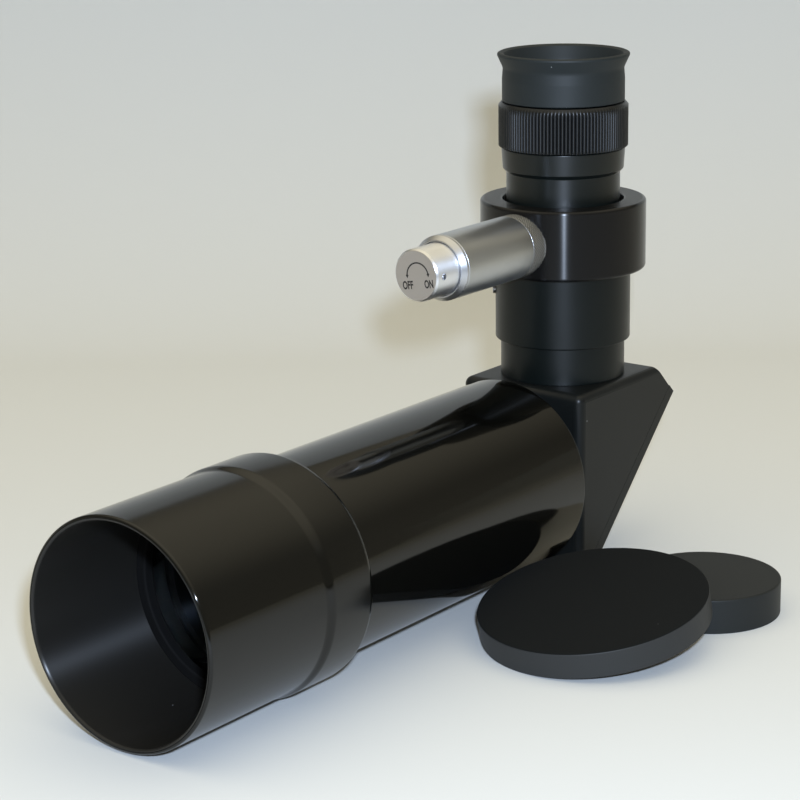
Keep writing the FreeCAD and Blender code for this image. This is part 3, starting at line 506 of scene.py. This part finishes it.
def turned(name, corners, frame_of_axis, body, node, around=192, relief=None, sharp=40.0):
    """A turned piece in the finish of the node that it stands for."""
    slot = slot_of[node]
    points = sweep(rounded(corners), frame_of_axis, around, relief)
    return grid_piece(name, points, body, finishes[slot], (node,), sharp=sharp)


# %% [markdown]
# ## Objective cell
#
# The dew shield, the swelling behind it and the band are one turned piece. Its wall is only a millimetre
# and a half thick and its rim is round, which shows as a bright line. The swelling is an S-curve: a cosine
# from the smaller to the larger radius looks like the form tool's work and needs no hand-placed points.
# The paint is glossy outside and matt in the bore, which a mask by the distance from the axis tells apart.

# %% Making the cell
hood_r = 29.5
hood_wall = 1.5
rim_edge = 0.7
band_r = cell_high[2]
band_edge = 2.0
swell_start = -67.4
swell_length = 3.2
lens_bore = 25.85
lens_seat_x = -69.35
ledge_r = 24.9
ledge_length = 2.0
socket_r = tube_r + 0.05
front_x = cell_low[0]
rear_x = cell_high[0]
socket_x = tube_low[0]
part_way = np.linspace(0, 1, 13)[1:-1]
swell = np.stack([swell_start + swell_length * part_way,
                  hood_r + (band_r - hood_r) * (1 - np.cos(math.pi * part_way)) / 2], -1)
cell_outline = [
    (front_x, hood_r - hood_wall, rim_edge), (front_x, hood_r, rim_edge), (swell_start, hood_r, 0),
]
cell_outline += [(a, r, 0) for a, r in swell]
cell_outline += [
    (swell_start + swell_length, band_r, 0), (rear_x, band_r, band_edge), (rear_x, socket_r, 0.15),
    (socket_x, socket_r, 0), (socket_x, ledge_r, 0), (socket_x - ledge_length, ledge_r, 0),
    (socket_x - ledge_length, lens_bore, 0), (lens_seat_x, lens_bore, 0),
    (lens_seat_x, hood_r - hood_wall, 0),
]
cell_skin = turned("objective_cell_skin", cell_outline, ALONG_X, "finder", "objective_cell", around=256)
bore = (inside, {"Radius": (hood_r - hood_wall / 2) * MM})
cell_skin.data.materials[0] = finish(
    "cell_paint", (0.002, 0.002, 0.0016), 0.11, bump=4e-6, grain_scale=260.0, cloud=0.03, axis=X,
    streak=0.95, specks=0.08, spec=0.4, part=bore, other=((0.01, 0.0095, 0.0085), 0.35))

# %% Retaining ring
retainer_low, retainer_high = box_mm("objective_retaining_ring")
retainer_r = 27.95
retainer_bore = 25.05
retainer_outline = [
    (retainer_low[0], retainer_bore, 0.6), (retainer_low[0], retainer_r, 0.2),
    (retainer_high[0], retainer_r, 0), (retainer_high[0], retainer_bore, 0),
]
retainer_skin = turned("retaining_ring_skin", retainer_outline, ALONG_X, "finder",
                       "objective_retaining_ring")
retainer_skin.data.materials[0] = finishes["matt_black_paint"]

# %% [markdown]
# ## Lenses
#
# A lens surface is part of a ball: over a rim of radius c with a bulge b the ball's radius is
# (c^2 + b^2) / (2 b). Working the section out from that formula keeps the highlight on the glass a smooth
# curve, where the facets of an imported solid would break it up.

# %% Lens sections


def ball_arc(rim_a, pole_a, rim_r, count=14):
    """Points from the rim to the pole of a ball cap: a = pole - s (R - sqrt(R^2 - r^2))."""
    bulge = abs(pole_a - rim_a)
    ball = (rim_r ** 2 + bulge ** 2) / (2 * bulge)
    sign = 1.0 if pole_a > rim_a else -1.0
    r = rim_r * np.sin(np.linspace(math.pi / 2, 0, count))
    return np.stack([pole_a - sign * (ball - np.sqrt(ball ** 2 - r ** 2)), r], -1)


def lens(name, low_rim, low_pole, high_rim, high_pole, rim_r, frame_of_axis, body, node):
    """A lens between two ball caps, from its low pole round the rim to its high pole."""
    low = ball_arc(low_rim, low_pole, rim_r)[::-1]
    high = ball_arc(high_rim, high_pole, rim_r)
    points = sweep(np.concatenate([low, high]), frame_of_axis, 128)
    slot = slot_of[node]
    return grid_piece(name, points, body, finishes[slot], (node,), closed=(False, True), sharp=60.0)


crown_low, crown_high = box_mm("objective_crown_lens")
crown_rim_front = -69.65
crown_rim_back = -67.85
lens("crown_lens_glass", crown_rim_front, crown_low[0], crown_rim_back, crown_high[0], crown_high[2],
     ALONG_X, "finder", "objective_crown_lens")
eye_low, eye_high = box_mm("eye_lens")
eye_bulge_below = 1.9
eye_bulge_above = 0.5
lens("eye_lens_glass", eye_low[2] + eye_bulge_below, eye_low[2], eye_high[2] - eye_bulge_above,
     eye_high[2], eye_high[1], ALONG_POST, "eye_tube", "eye_lens")

# %% [markdown]
# ## Main tube
#
# A plain drawn tube, painted gloss black. Its rear edge catches a thin line of light all round, so it gets
# a small radius there and nothing else.

# %% Making the tube
tube_wall = 1.5
tube_outline = [(tube_low[0], tube_r - tube_wall, 0), (tube_low[0], tube_r, 0.3),
                (tube_high[0], tube_r, 0.35), (tube_high[0], tube_r - tube_wall, 0.1)]
turned("main_tube_skin", tube_outline, ALONG_X, "finder", "main_tube", around=256)

# %% Tube adapter, seen only in the gap before the housing
adapter_r = tube_r - 1.55
adapter_neck_r = 20.3
adapter_spigot_r = 18.0
adapter_start = tube_high[0] - 7.5
adapter_end = house_low[0] + 5.0
adapter_outline = [
    (adapter_start, 17.5, 0), (adapter_start, adapter_r, 0), (tube_high[0], adapter_r, 0),
    (tube_high[0], adapter_neck_r, 0.1), (house_low[0], adapter_neck_r, 0.1),
    (house_low[0], adapter_spigot_r, 0), (adapter_end, adapter_spigot_r, 0), (adapter_end, 15.5, 0),
]
turned("tube_adapter_skin", adapter_outline, ALONG_X, "finder", "tube_adapter")

# %% [markdown]
# ## Prism housing and rear cover
#
# The casting and its cover are already right as solids, with the wide radii of the casting. What a solid
# from CAD lacks is shading: its mesh is loose triangles. A copy is merged, its flat areas are dissolved into
# whole faces, and a bevel modifier breaks the remaining sharp edges by up to a quarter of a millimetre.

# %% A merged copy of a solid


def dressed_copy(name, node, body, width, angle=30.0, segments=3):
    """A copy of a node with merged corners, whole flat faces and a small bevel on its sharp edges."""
    slot = slot_of[node]
    mesh = nodes[node].data.copy()
    mesh.name = name
    bm = bmesh.new()
    bm.from_mesh(mesh)
    bmesh.ops.remove_doubles(bm, verts=bm.verts, dist=1e-6)
    bmesh.ops.dissolve_limit(bm, angle_limit=math.radians(0.5), verts=bm.verts, edges=bm.edges)
    bm.to_mesh(mesh)
    bm.free()
    mesh.shade_smooth()
    mesh.set_sharp_from_angle(angle=math.radians(angle))
    mesh.materials.clear()
    mesh.materials.append(finishes[slot])
    piece = bpy.data.objects.new(name, mesh)
    bpy.context.scene.collection.objects.link(piece)
    bevel = piece.modifiers.new("edge", "BEVEL")
    bevel.width = width * MM
    bevel.segments = segments
    bevel.limit_method = "ANGLE"
    bevel.angle_limit = math.radians(angle)
    bevel.harden_normals = True
    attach(piece, body)
    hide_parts(node)
    print(name, "has", len(mesh.polygons), "faces before its bevel")
    return piece


dressed_copy("prism_housing_skin", "prism_housing", "finder", 0.25)
dressed_copy("rear_cover_skin", "rear_cover", "finder", 0.15)
dressed_copy("cover_screw_heads", "cover_screws", "finder", 0.06)

# %% [markdown]
# ## Neck and sleeve
#
# Two plain turned tubes. The step between them is the only thing that tells them apart, with the shadow
# under it, so their edges stay small.

# %% Making the neck and the sleeve
neck_r = 17.9
neck_bore = 13.5
neck_foot_r = 15.0
neck_spigot_r = 17.0
neck_top = sleeve_low[2]
neck_outline = [
    (neck_low[2], neck_bore, 0), (neck_low[2], neck_foot_r, 0), (house_high[2], neck_foot_r, 0),
    (house_high[2], neck_r, 0.15), (neck_top, neck_r, 0.1), (neck_top, neck_spigot_r, 0),
    (neck_high[2], neck_spigot_r, 0), (neck_high[2], neck_bore, 0),
]
turned("eyepiece_neck_skin", neck_outline, ALONG_POST, "finder", "eyepiece_neck")
sleeve_r = sleeve_high[1]
sleeve_bore = 15.95
sleeve_socket_r = neck_spigot_r + 0.05
sleeve_outline = [
    (sleeve_low[2], sleeve_socket_r, 0), (sleeve_low[2], sleeve_r, 0.35), (sleeve_high[2], sleeve_r, 0.4),
    (sleeve_high[2], sleeve_bore, 0.2), (neck_high[2], sleeve_bore, 0), (neck_high[2], sleeve_socket_r, 0),
]
turned("eyepiece_sleeve_skin", sleeve_outline, ALONG_POST, "finder", "eyepiece_sleeve")

# %% [markdown]
# ## Illuminator collar
#
# The widest ring on the post, bored out at the top so that a dark gap runs round the barrel. Its anodising
# is glossier than the rest and shows one thin upright line of light.

# %% Making the collar
collar_r = collar_high[1]
collar_edge = 0.9
collar_gap_r = 17.4
collar_socket_r = 15.6
collar_bore = 13.0
nose_seat_r = 15.93
collar_gap_floor = collar_high[2] - 3.2
collar_socket_floor = collar_low[2] + 7.0
nose_seat_top = collar_low[2] + 4.0
collar_outline = [
    (collar_low[2], nose_seat_r, 0.1), (collar_low[2], collar_r, collar_edge),
    (collar_high[2], collar_r, collar_edge), (collar_high[2], collar_gap_r, 0.3),
    (collar_gap_floor, collar_gap_r, 0), (collar_gap_floor, collar_socket_r, 0),
    (collar_socket_floor, collar_socket_r, 0), (collar_socket_floor, collar_bore, 0),
    (nose_seat_top, collar_bore, 0), (nose_seat_top, nose_seat_r, 0),
]
turned("illuminator_collar_skin", collar_outline, ALONG_POST, "eyepiece", "illuminator_collar", around=256)

# %% [markdown]
# ## Barrel and focus ring
#
# The barrel flares under the focus ring and carries it on a narrower neck. The ring is rolled with a
# straight knurl: a hundred and ten ribs that run out of the lower edge and end a little under the upper
# one. In the formula the radius loses depth (1 - |cos(55 t)|^0.8), times a window that is 1 where the
# ribs are and 0 on the plain edge.

# %% Making the barrel
barrel_black = finish("barrel_black", (0.003, 0.005, 0.005), 0.32, bump=1.2e-5, grain_scale=3500.0,
                      cloud=0.05, axis=Z, ring_bump=2e-6, streak=0.5, spec=0.4)
barrel_r = 16.25
barrel_bore = 12.6
barrel_foot_r = 15.55
ring_seat_r = 15.1
flare_low = 82.9
flare_high = 84.0
flange_top = 90.0
barrel_outline = [
    (barrel_low[2], barrel_bore, 0), (barrel_low[2], barrel_foot_r, 0), (collar_gap_floor, barrel_foot_r, 0),
    (collar_gap_floor, barrel_r, 0), (flare_low, barrel_r, 0.3), (flare_high, 17.25, 0.35),
    (flange_top, 17.65, 0.25), (flange_top, ring_seat_r, 0), (barrel_high[2], ring_seat_r, 0.1),
    (barrel_high[2], barrel_bore, 0.1),
]
barrel_skin = turned("eyepiece_barrel_skin", barrel_outline, ALONG_POST, "eyepiece", "eyepiece_barrel")
barrel_skin.data.materials[0] = barrel_black

# %% Making the knurled ring
rib_count = 110
rib_depth = 0.42
rib_fade = 0.35
plain_edge = 1.3
ring_r = ring_high[1]
ring_bore = 15.2
keeper_recess_r = 17.0
keeper_recess_floor = ring_high[2] - 1.7


def ribs(a, r, t):
    """Depth of the straight knurl: only on the outside, and not on the plain upper edge."""
    above = np.clip((a - ring_low[2] + 0.2) / rib_fade, 0, 1)
    below = np.clip((ring_high[2] - plain_edge - a) / rib_fade, 0, 1)
    wave = np.abs(np.cos(t * rib_count / 2)) ** 0.8
    return np.where(r > ring_r - 1.0, above * below * rib_depth * (1 - wave), 0.0)


knurl_rows = np.linspace(ring_low[2] + 0.15, ring_high[2] - 0.9, 16)
ring_outline = [(ring_low[2], ring_bore, 0), (ring_low[2], ring_r - 0.15, 0)]
ring_outline += [(a, ring_r, 0) for a in knurl_rows]
ring_outline += [
    (ring_high[2], ring_r - 0.8, 0.1), (ring_high[2], keeper_recess_r, 0.1),
    (keeper_recess_floor, keeper_recess_r, 0), (keeper_recess_floor, ring_bore, 0),
]
turned("focus_ring_skin", ring_outline, ALONG_POST, "focus_ring", "focus_ring", around=rib_count * 8,
       relief=ribs, sharp=50.0)

# %% [markdown]
# ## Eyecup
#
# Soft moulded rubber: a straight skirt, a slight waist and a lip that flares out for the eye socket. Rubber
# has no crisp edge, so each corner gets a generous radius.

# %% Making the eyecup
cup_z = cup_low[2]
cup_top = cup_high[2]
skirt_r = 17.4
lip_r = cup_high[1]
cup_bore = 15.5
cup_sleeve_r = 15.65
eye_hole_r = 12.5
floor_below = cup_z + 2.65
floor_above = cup_z + 4.05
waist_z = cup_z + 9.35
cup_outline = [
    (cup_z, cup_sleeve_r, 0.1), (cup_z, skirt_r, 0.35), (cup_z + 6.2, skirt_r, 2.0),
    (waist_z, 17.15, 2.2), (cup_z + 12.8, lip_r, 0.3), (cup_top - 0.35, lip_r - 0.05, 0.3),
    (cup_top, lip_r - 0.8, 0.4), (cup_top - 0.5, 16.9, 0.3), (waist_z, cup_bore, 2.0),
    (floor_above, cup_bore, 0.5), (floor_above, eye_hole_r, 0.3), (floor_below, eye_hole_r, 0.3),
    (floor_below, cup_sleeve_r, 0),
]
turned("eyecup_skin", cup_outline, ALONG_POST, "eye_tube", "eyecup", sharp=60.0)

# %% Lens tube and its ring, seen inside the cup
lens_tube_r = 12.52
lens_tube_bore = 11.17
lens_ledge_r = 10.37
lens_ledge_low = 85.66
lens_ledge_high = 86.46
tube_flange_r = 15.6
tube_flange_top = cup_z + 2.6
lens_tube_outline = [
    (lens_ledge_low, lens_ledge_r, 0), (lens_ledge_low, lens_tube_r, 0.2), (cup_z, lens_tube_r, 0),
    (cup_z, tube_flange_r, 0), (tube_flange_top, tube_flange_r, 0), (tube_flange_top, lens_tube_bore, 0.2),
    (lens_ledge_high, lens_tube_bore, 0), (lens_ledge_high, lens_ledge_r, 0),
]
turned("lens_tube_skin", lens_tube_outline, ALONG_POST, "eye_tube", "eye_lens_tube")

# %% [markdown]
# ## Illuminator
#
# A small battery tube that screws into the collar. The grip ring at its root has a fine diamond knurl, the
# tube is satin, a bright bevelled ring closes it, and the switch knob stands in that ring behind a dark
# groove. The knob is a dressed copy of its solid, which keeps the hole for its grub screw. Outlines run
# outwards from the post's axis.

# %% Making the grip ring with its diamond knurl
grip_r = grip_high[1]
grip_out = post_x - body_high[0]
holder_low = post_x - grip_high[0]
lamp_bore = 2.55
holder_thread_r = 6.5
spigot_r = 7.3
spigot_end = grip_out + 4.5
groove_depth = 0.28


def diamonds(a, r, t):
    """Two crossing sets of fine grooves, deepest where |sin(28 t + 3.5 a)| or |sin(28 t - 3.5 a)| is 0."""
    one = np.abs(np.sin(28 * t + 3.5 * a))
    two = np.abs(np.sin(28 * t - 3.5 * a))
    cut = (a > collar_r - 1.5) & (a < grip_out - 0.12) & (r > grip_r - 0.2)
    return np.where(cut, groove_depth * (1 - np.minimum(one, two)), 0.0)


grip_rows = np.linspace(collar_r - 1.8, grip_out - 0.1, 36)
grip_outline = [(holder_low, lamp_bore, 0), (holder_low, holder_thread_r, 0.2),
                (grip_rows[0], holder_thread_r, 0)]
grip_outline += [(a, grip_r, 0) for a in grip_rows]
grip_outline += [(grip_out, grip_r - 0.1, 0), (grip_out, spigot_r, 0), (spigot_end, spigot_r, 0.1),
                 (spigot_end, lamp_bore, 0)]
grip_skin = turned("lamp_holder_skin", grip_outline, ALONG_LAMP, "eyepiece", "lamp_holder", around=720,
                   relief=diamonds, sharp=60.0)
# The grip ring's silver is painted darker than the body's: painted shade standing in for the shade in the
# knurl's fine grooves.
grip_skin.data.materials[0] = finish("grip_silver_painted_knurl_shade", (0.3, 0.305, 0.315), 0.36, metallic=1.0, bump=4e-6,
                                     grain_scale=9000.0, cloud=0.05, axis=X, ring_bump=2e-6)

# %% Making the body
body_end = post_x - body_low[0]
body_bore = 6.3
body_socket_r = spigot_r + 0.05
body_outline = [
    (grip_out, body_socket_r, 0), (grip_out, grip_r, 0.1), (body_end, grip_r, 0.2),
    (body_end, body_bore, 0), (spigot_end, body_bore, 0), (spigot_end, body_socket_r, 0),
]
turned("illuminator_body_skin", body_outline, ALONG_LAMP, "eyepiece", "illuminator_body")

# %% Making the cap ring
ring_end = post_x - cap_ring_low[0]
knob_r = knob_high[2] - lamp_z
plug_start = body_end - 4.0
plug_r = body_bore - 0.05
plug_bore = 2.3
groove_r = knob_r + 0.3
groove_floor = body_end + 0.6
cap_ring_outline = [
    (plug_start, plug_bore, 0), (plug_start, plug_r, 0), (body_end, plug_r, 0), (body_end, grip_r, 0.15),
    (body_end + 0.9, grip_r, 0.3), (ring_end, 7.9, 0.15), (ring_end, groove_r, 0.1),
    (groove_floor, groove_r, 0), (groove_floor, plug_bore, 0),
]
turned("cap_ring_skin", cap_ring_outline, ALONG_LAMP, "eyepiece", "illuminator_cap_ring")

# %% Making the knob; its face is a darker, warmer grey, partly a duller finish of its own and partly a painted reflection of the dim warm room
knob_face_painted_reflection = (plane, {"Direction": (-1.0, 0, 0), "Distance": (-knob_low[0] - 0.05) * MM})
# The face's colour, (0.6, 0.57, 0.56), is partly painted reflection of the dim warm room, on top of the
# face's duller finish.
knob_skin = dressed_copy("switch_knob_skin", "switch_knob", "switch_knob", 0.12, angle=35.0)
knob_skin.data.materials[0] = finish("knob_silver", (0.9, 0.91, 0.94), 0.42, metallic=1.0, bump=2e-6,
                                     grain_scale=9000.0, cloud=0.04, axis=X, ring_bump=2e-6, streak=0.85,
                                     part=knob_face_painted_reflection, other=((0.6, 0.57, 0.56), 0.4))

# %% [markdown]
# ## Lettering on the knob
#
# OFF and ON stand under an arc with an arrowhead at each end. Letters come from Blender's own font, as a
# text curve made into a mesh before it is placed. The arc is a flat strip worked out from its angle.

# %% Dark ink
ink = finish("dark_ink", (0.02, 0.018, 0.018), 0.45, bump=1e-6, grain_scale=4000.0, cloud=0.05)
ink_height = 0.02
face_x = knob_low[0] + ink_height / 2
print_turn = math.radians(9.0)
print_shift = 0.6


def on_face(flat, lift):
    """Takes points (u, v), u to the reader's right and v up, to the knob's face.

    The print sits a little off the centre and is turned by an angle q: the new u is u cos q - v sin q plus
    the shift, and the new v is u sin q + v cos q.
    """
    u = flat[:, 0] * math.cos(print_turn) - flat[:, 1] * math.sin(print_turn) + print_shift
    v = flat[:, 0] * math.sin(print_turn) + flat[:, 1] * math.cos(print_turn)
    return np.stack([np.full(len(flat), face_x - lift), -u, lamp_z + v], -1)


def word(text, width, height, u, v):
    """A word whose letters fill width by height millimetres from the point (u, v)."""
    curve = bpy.data.curves.new("knob_" + text.lower(), "FONT")
    curve.body = text
    curve.extrude = ink_height
    curve.offset = 0.035
    holder = bpy.data.objects.new("knob_text_holder", curve)
    bpy.context.scene.collection.objects.link(holder)
    bpy.context.view_layer.update()
    evaluated = holder.evaluated_get(bpy.context.evaluated_depsgraph_get())
    mesh = bpy.data.meshes.new_from_object(evaluated)
    bpy.data.objects.remove(holder)
    points = np.empty(len(mesh.vertices) * 3)
    mesh.vertices.foreach_get("co", points)
    points = points.reshape(-1, 3)
    low = points.min(0)
    size = np.ptp(points, 0)
    flat = (points[:, :2] - low[:2]) / size[:2] * (width, height) + (u, v)
    placed = on_face(flat, 0.0) * MM
    placed[:, 0] -= (points[:, 2] - low[2]) / size[2] * ink_height * MM
    mesh.vertices.foreach_set("co", placed.ravel())
    mesh.update()
    mesh.materials.clear()
    mesh.materials.append(ink)
    piece = bpy.data.objects.new("knob_word_" + text.lower(), mesh)
    bpy.context.scene.collection.objects.link(piece)
    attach(piece, "switch_knob")
    print(piece.name, "has", len(mesh.polygons), "faces")


word("OFF", 3.5, 2.3, -5.4, -3.5)
word("ON", 2.9, 2.3, 1.9, -3.5)

# %% The arc and its arrowheads
arc_r = 3.5
arc_half = 0.21
head_half = 0.5
tip_half = 0.02
t = np.radians(np.linspace(-8, 188, 60))
half = np.interp(np.degrees(t), [-8, 6, 6.01, 173.99, 174, 188],
                 [tip_half, head_half, arc_half, arc_half, head_half, tip_half])
strip = []
for edge, lift in ((-1, 0.0), (1, 0.0), (1, ink_height), (-1, ink_height)):
    radius = arc_r + edge * half
    strip.append(on_face(np.stack([radius * np.cos(t), radius * np.sin(t)], -1), lift))
grid_piece("knob_arc", np.stack(strip), "switch_knob", ink, closed=(True, False))

# %% [markdown]
# ## Dust caps
#
# Two moulded cups lie open side down. The large one leans on the small one's edge, so its outline is swept
# round a tilted axis. How tall it stands gives the lean: H = 2 R sin(lean) + h cos(lean), solved for the
# angle.

# %% Sections of the caps


def cap_outline(inner, wall, height):
    """Half section of a cap: closed top, open mouth at a = 0."""
    outer = inner + wall
    return [(height, 0, 0), (height, outer, 0.55), (0, outer, 0.2), (0, inner, 0.2),
            (height - wall, inner, 0.8), (height - wall, 0, 0)]


def cap_axis(centre, normal):
    """Axis frame from a centre and a normal: e1 is level, e2 completes it."""
    k = normal / np.linalg.norm(normal)
    e1 = np.cross(k, [0, 1.0, 0])
    e1 = e1 / np.linalg.norm(e1)
    return centre, k, e1, np.cross(k, e1)


# %% A finish with its own top


def cap_finish(name, centre, normal, height, side_color, top_look):
    """Black plastic whose top differs from its sides, told apart by a plane just under the top."""
    top = (plane, {"Direction": tuple(normal), "Distance": (float(centre @ normal) + height - 0.25) * MM})
    return finish(name, side_color, 0.5, bump=1.2e-5, grain_scale=3500.0, cloud=0.05, specks=0.02,
                  spec=0.2, part=top, other=top_look)


# %% The small cap
upright = np.array([0, 0, 1.0])
small_centre = (small_cap_low + small_cap_high) / 2
small_centre[2] = floor_z
small_r = small_cap_high[0] - small_centre[0]
small_wall = 1.45
small_height = small_cap_high[2] - floor_z
small_cap = turned("eyepiece_cap_skin", cap_outline(small_r - small_wall, small_wall, small_height),
                   cap_axis(small_centre, upright), "finder", "eyepiece_cap")
small_cap.data.materials[0] = cap_finish("small_cap_plastic", small_centre, upright, small_height,
                                         (0.015, 0.017, 0.017), ((0.013, 0.014, 0.013), 0.6))

# %% The large cap
big_r = hood_r + 1.5
big_wall = 1.25
big_height = 7.15
big_middle = (big_cap_low + big_cap_high) / 2
toward = small_centre - big_middle
toward[2] = 0.0
toward = toward / np.linalg.norm(toward)
tall = big_cap_high[2] - floor_z
lean = math.asin(tall / math.hypot(2 * big_r, big_height)) - math.atan(big_height / (2 * big_r))
normal = np.array([0, 0, math.cos(lean)]) - toward * math.sin(lean)
big_centre = big_middle - normal * big_height / 2
big_cap = turned("objective_cap_skin", cap_outline(big_r - big_wall, big_wall, big_height),
                 cap_axis(big_centre, normal), "finder", "objective_cap")
# The large cap's sides are painted a lighter black, a painted sheen of the bright floor, and its top a
# near-black, painted shade; the top's higher roughness is its real matt grain.
big_cap.data.materials[0] = cap_finish("large_cap_painted_sheen_and_shade", big_centre, normal, big_height,
                                       (0.027, 0.028, 0.028), ((0.003, 0.0035, 0.0032), 0.95))
print("large cap leans by", round(math.degrees(lean), 2), "degrees")

# %% [markdown]
# ## Floor, light and camera
#
# The finder stands on a pale sweep that curves up behind it. Well in front of the finder the paper turns
# grey:
# painted shade standing in for the dim room in front, where only its reflection in the paint could be seen.
# The room is one warm sky, bright overhead and dim behind the wall, and a small cool lamp just above the
# camera gives the thin highlights on the round parts and the sharp warm shadow on the wall.

# %% The camera
eye = np.array([-497.4, -381.6, 203.7])
yaw = 0.918
pitch = 0.266
roll = -0.015
ahead = np.array([math.sin(yaw) * math.cos(pitch), math.cos(yaw) * math.cos(pitch), -math.sin(pitch)])
right = np.array([math.cos(yaw), -math.sin(yaw), 0.0])
up = np.cross(right, ahead)
right, up = (math.cos(roll) * right + math.sin(roll) * up, -math.sin(roll) * right + math.cos(roll) * up)
camera_data = bpy.data.cameras.new("camera")
camera_data.sensor_width = 36.0
camera_data.lens = 109.93
camera_data.clip_start = 0.01
camera_data.clip_end = 20.0
camera = bpy.data.objects.new("camera", camera_data)
bpy.context.scene.collection.objects.link(camera)
matrix = np.eye(4)
matrix[:3, 0] = right
matrix[:3, 1] = up
matrix[:3, 2] = -ahead
matrix[:3, 3] = eye * MM
camera.matrix_world = Matrix(matrix.tolist())
bpy.context.scene.camera = camera

# %% Soft masks


def along_direction(tree, vector, direction, low, high, at_low, at_high):
    """A value that goes smoothly from at_low to at_high as vector . direction goes from low to high."""
    part = tree.nodes.new("ShaderNodeVectorMath")
    part.operation = "DOT_PRODUCT"
    part.inputs[1].default_value = tuple(direction)
    tree.links.new(vector, part.inputs[0])
    spread = tree.nodes.new("ShaderNodeMapRange")
    spread.interpolation_type = "SMOOTHSTEP"
    for label, value in zip(("From Min", "From Max", "To Min", "To Max"), (low, high, at_low, at_high)):
        spread.inputs[label].default_value = value
    tree.links.new(part.outputs["Value"], spread.inputs["Value"])
    return spread.outputs["Result"]


# %% The sweep: floor, quarter circle, wall
away = np.array([math.sin(yaw), math.cos(yaw), 0.0])
across = np.array([math.cos(yaw), -math.sin(yaw), 0.0])
wall_at = 420.0
bend = 160.0
wall_top = 360.0
floor_reach = 1800.0
half_width = 2200.0
turn = np.linspace(0, math.pi / 2, 24)
run = np.concatenate([[-floor_reach], wall_at - bend + bend * np.sin(turn), [wall_at]])
rise = np.concatenate([[0.0], bend - bend * np.cos(turn), [wall_top]])
side = np.array([-half_width, half_width])
middle = np.array([post_x * 0.5, 0.0, floor_z - 0.02])
sweep_points = (middle + run[:, None, None] * away + side[None, :, None] * across
                + rise[:, None, None] * np.array([0, 0, 1.0]))
sweep_mesh = bpy.data.meshes.new("paper_sweep")
rows = len(run)
quads = np.array([[2 * i, 2 * i + 1, 2 * i + 3, 2 * i + 2] for i in range(rows - 1)])
sweep_mesh.from_pydata((sweep_points.reshape(-1, 3) * MM).tolist(), [], quads[:, ::-1].tolist())
sweep_mesh.shade_smooth()
pale = (0.66, 0.67, 0.66)
painted_shade_grey = (0.14, 0.14, 0.13)
paper = finish("pale_paper_painted_shade_in_front", pale, 0.8, bump=2e-5, grain_scale=300.0, cloud=0.02)
sweep_mesh.materials.append(paper)
tree = paper.node_tree
place = tree.nodes.new("ShaderNodeTexCoord").outputs["Object"]
# Painted shade: from about 220 to 480 mm towards the camera the paper blends to grey, standing in for the dim
# room in front that the black paint reflects.
painted_shade_in_front = along_direction(tree, place, -away, 0.22, 0.48, 0.0, 1.0)
tree.links.new(color_blend(tree, painted_shade_in_front, pale, painted_shade_grey), tree.nodes["Principled BSDF"].inputs["Base Color"])
paper_sweep = bpy.data.objects.new("paper_sweep", sweep_mesh)
bpy.context.scene.collection.objects.link(paper_sweep)

# %% Lights


def area_light(name, place, target, size, power, color):
    """A square area light at place that looks at target, in millimetres."""
    data = bpy.data.lights.new(name, "AREA")
    data.size = size * MM
    data.energy = power
    data.color = color
    lamp = bpy.data.objects.new(name, data)
    bpy.context.scene.collection.objects.link(lamp)
    back = np.array(place, float) - np.array(target, float)
    back = back / np.linalg.norm(back)
    side_way = np.cross([0, 0, 1.0], back)
    side_way = side_way / np.linalg.norm(side_way)
    spot = np.eye(4)
    spot[:3, 0] = side_way
    spot[:3, 1] = np.cross(back, side_way)
    spot[:3, 2] = back
    spot[:3, 3] = np.array(place) * MM
    lamp.matrix_world = Matrix(spot.tolist())
    return lamp


target = (30.0, 0.0, 20.0)
cool = (0.66, 0.79, 1.0)
beside_camera = eye + up * 42.0 + right * 20.0
lamp_size = 22.0
lamp_power = 5.6
area_light("camera_lamp", beside_camera, target, lamp_size, lamp_power, cool)

# %% The room: warm, dim behind the wall, bright overhead
world = bpy.data.worlds.new("studio")
bpy.context.scene.world = world
world.use_nodes = True
room = world.node_tree
background = room.nodes["Background"]
background.inputs["Color"].default_value = (1.0, 0.91, 0.68, 1.0)
look = room.nodes.new("ShaderNodeTexCoord").outputs["Generated"]
around_strength = along_direction(room, look, away, 0.2, 0.6, 0.25, 0.06)
overhead_strength = along_direction(room, look, (0, 0, 1), 0.35, 1.0, 0.0, 1.05)
room.links.new(math_node(room, "ADD", around_strength, overhead_strength), background.inputs["Strength"])
bpy.context.scene.view_settings.view_transform = "Standard"

# %% The end
import json
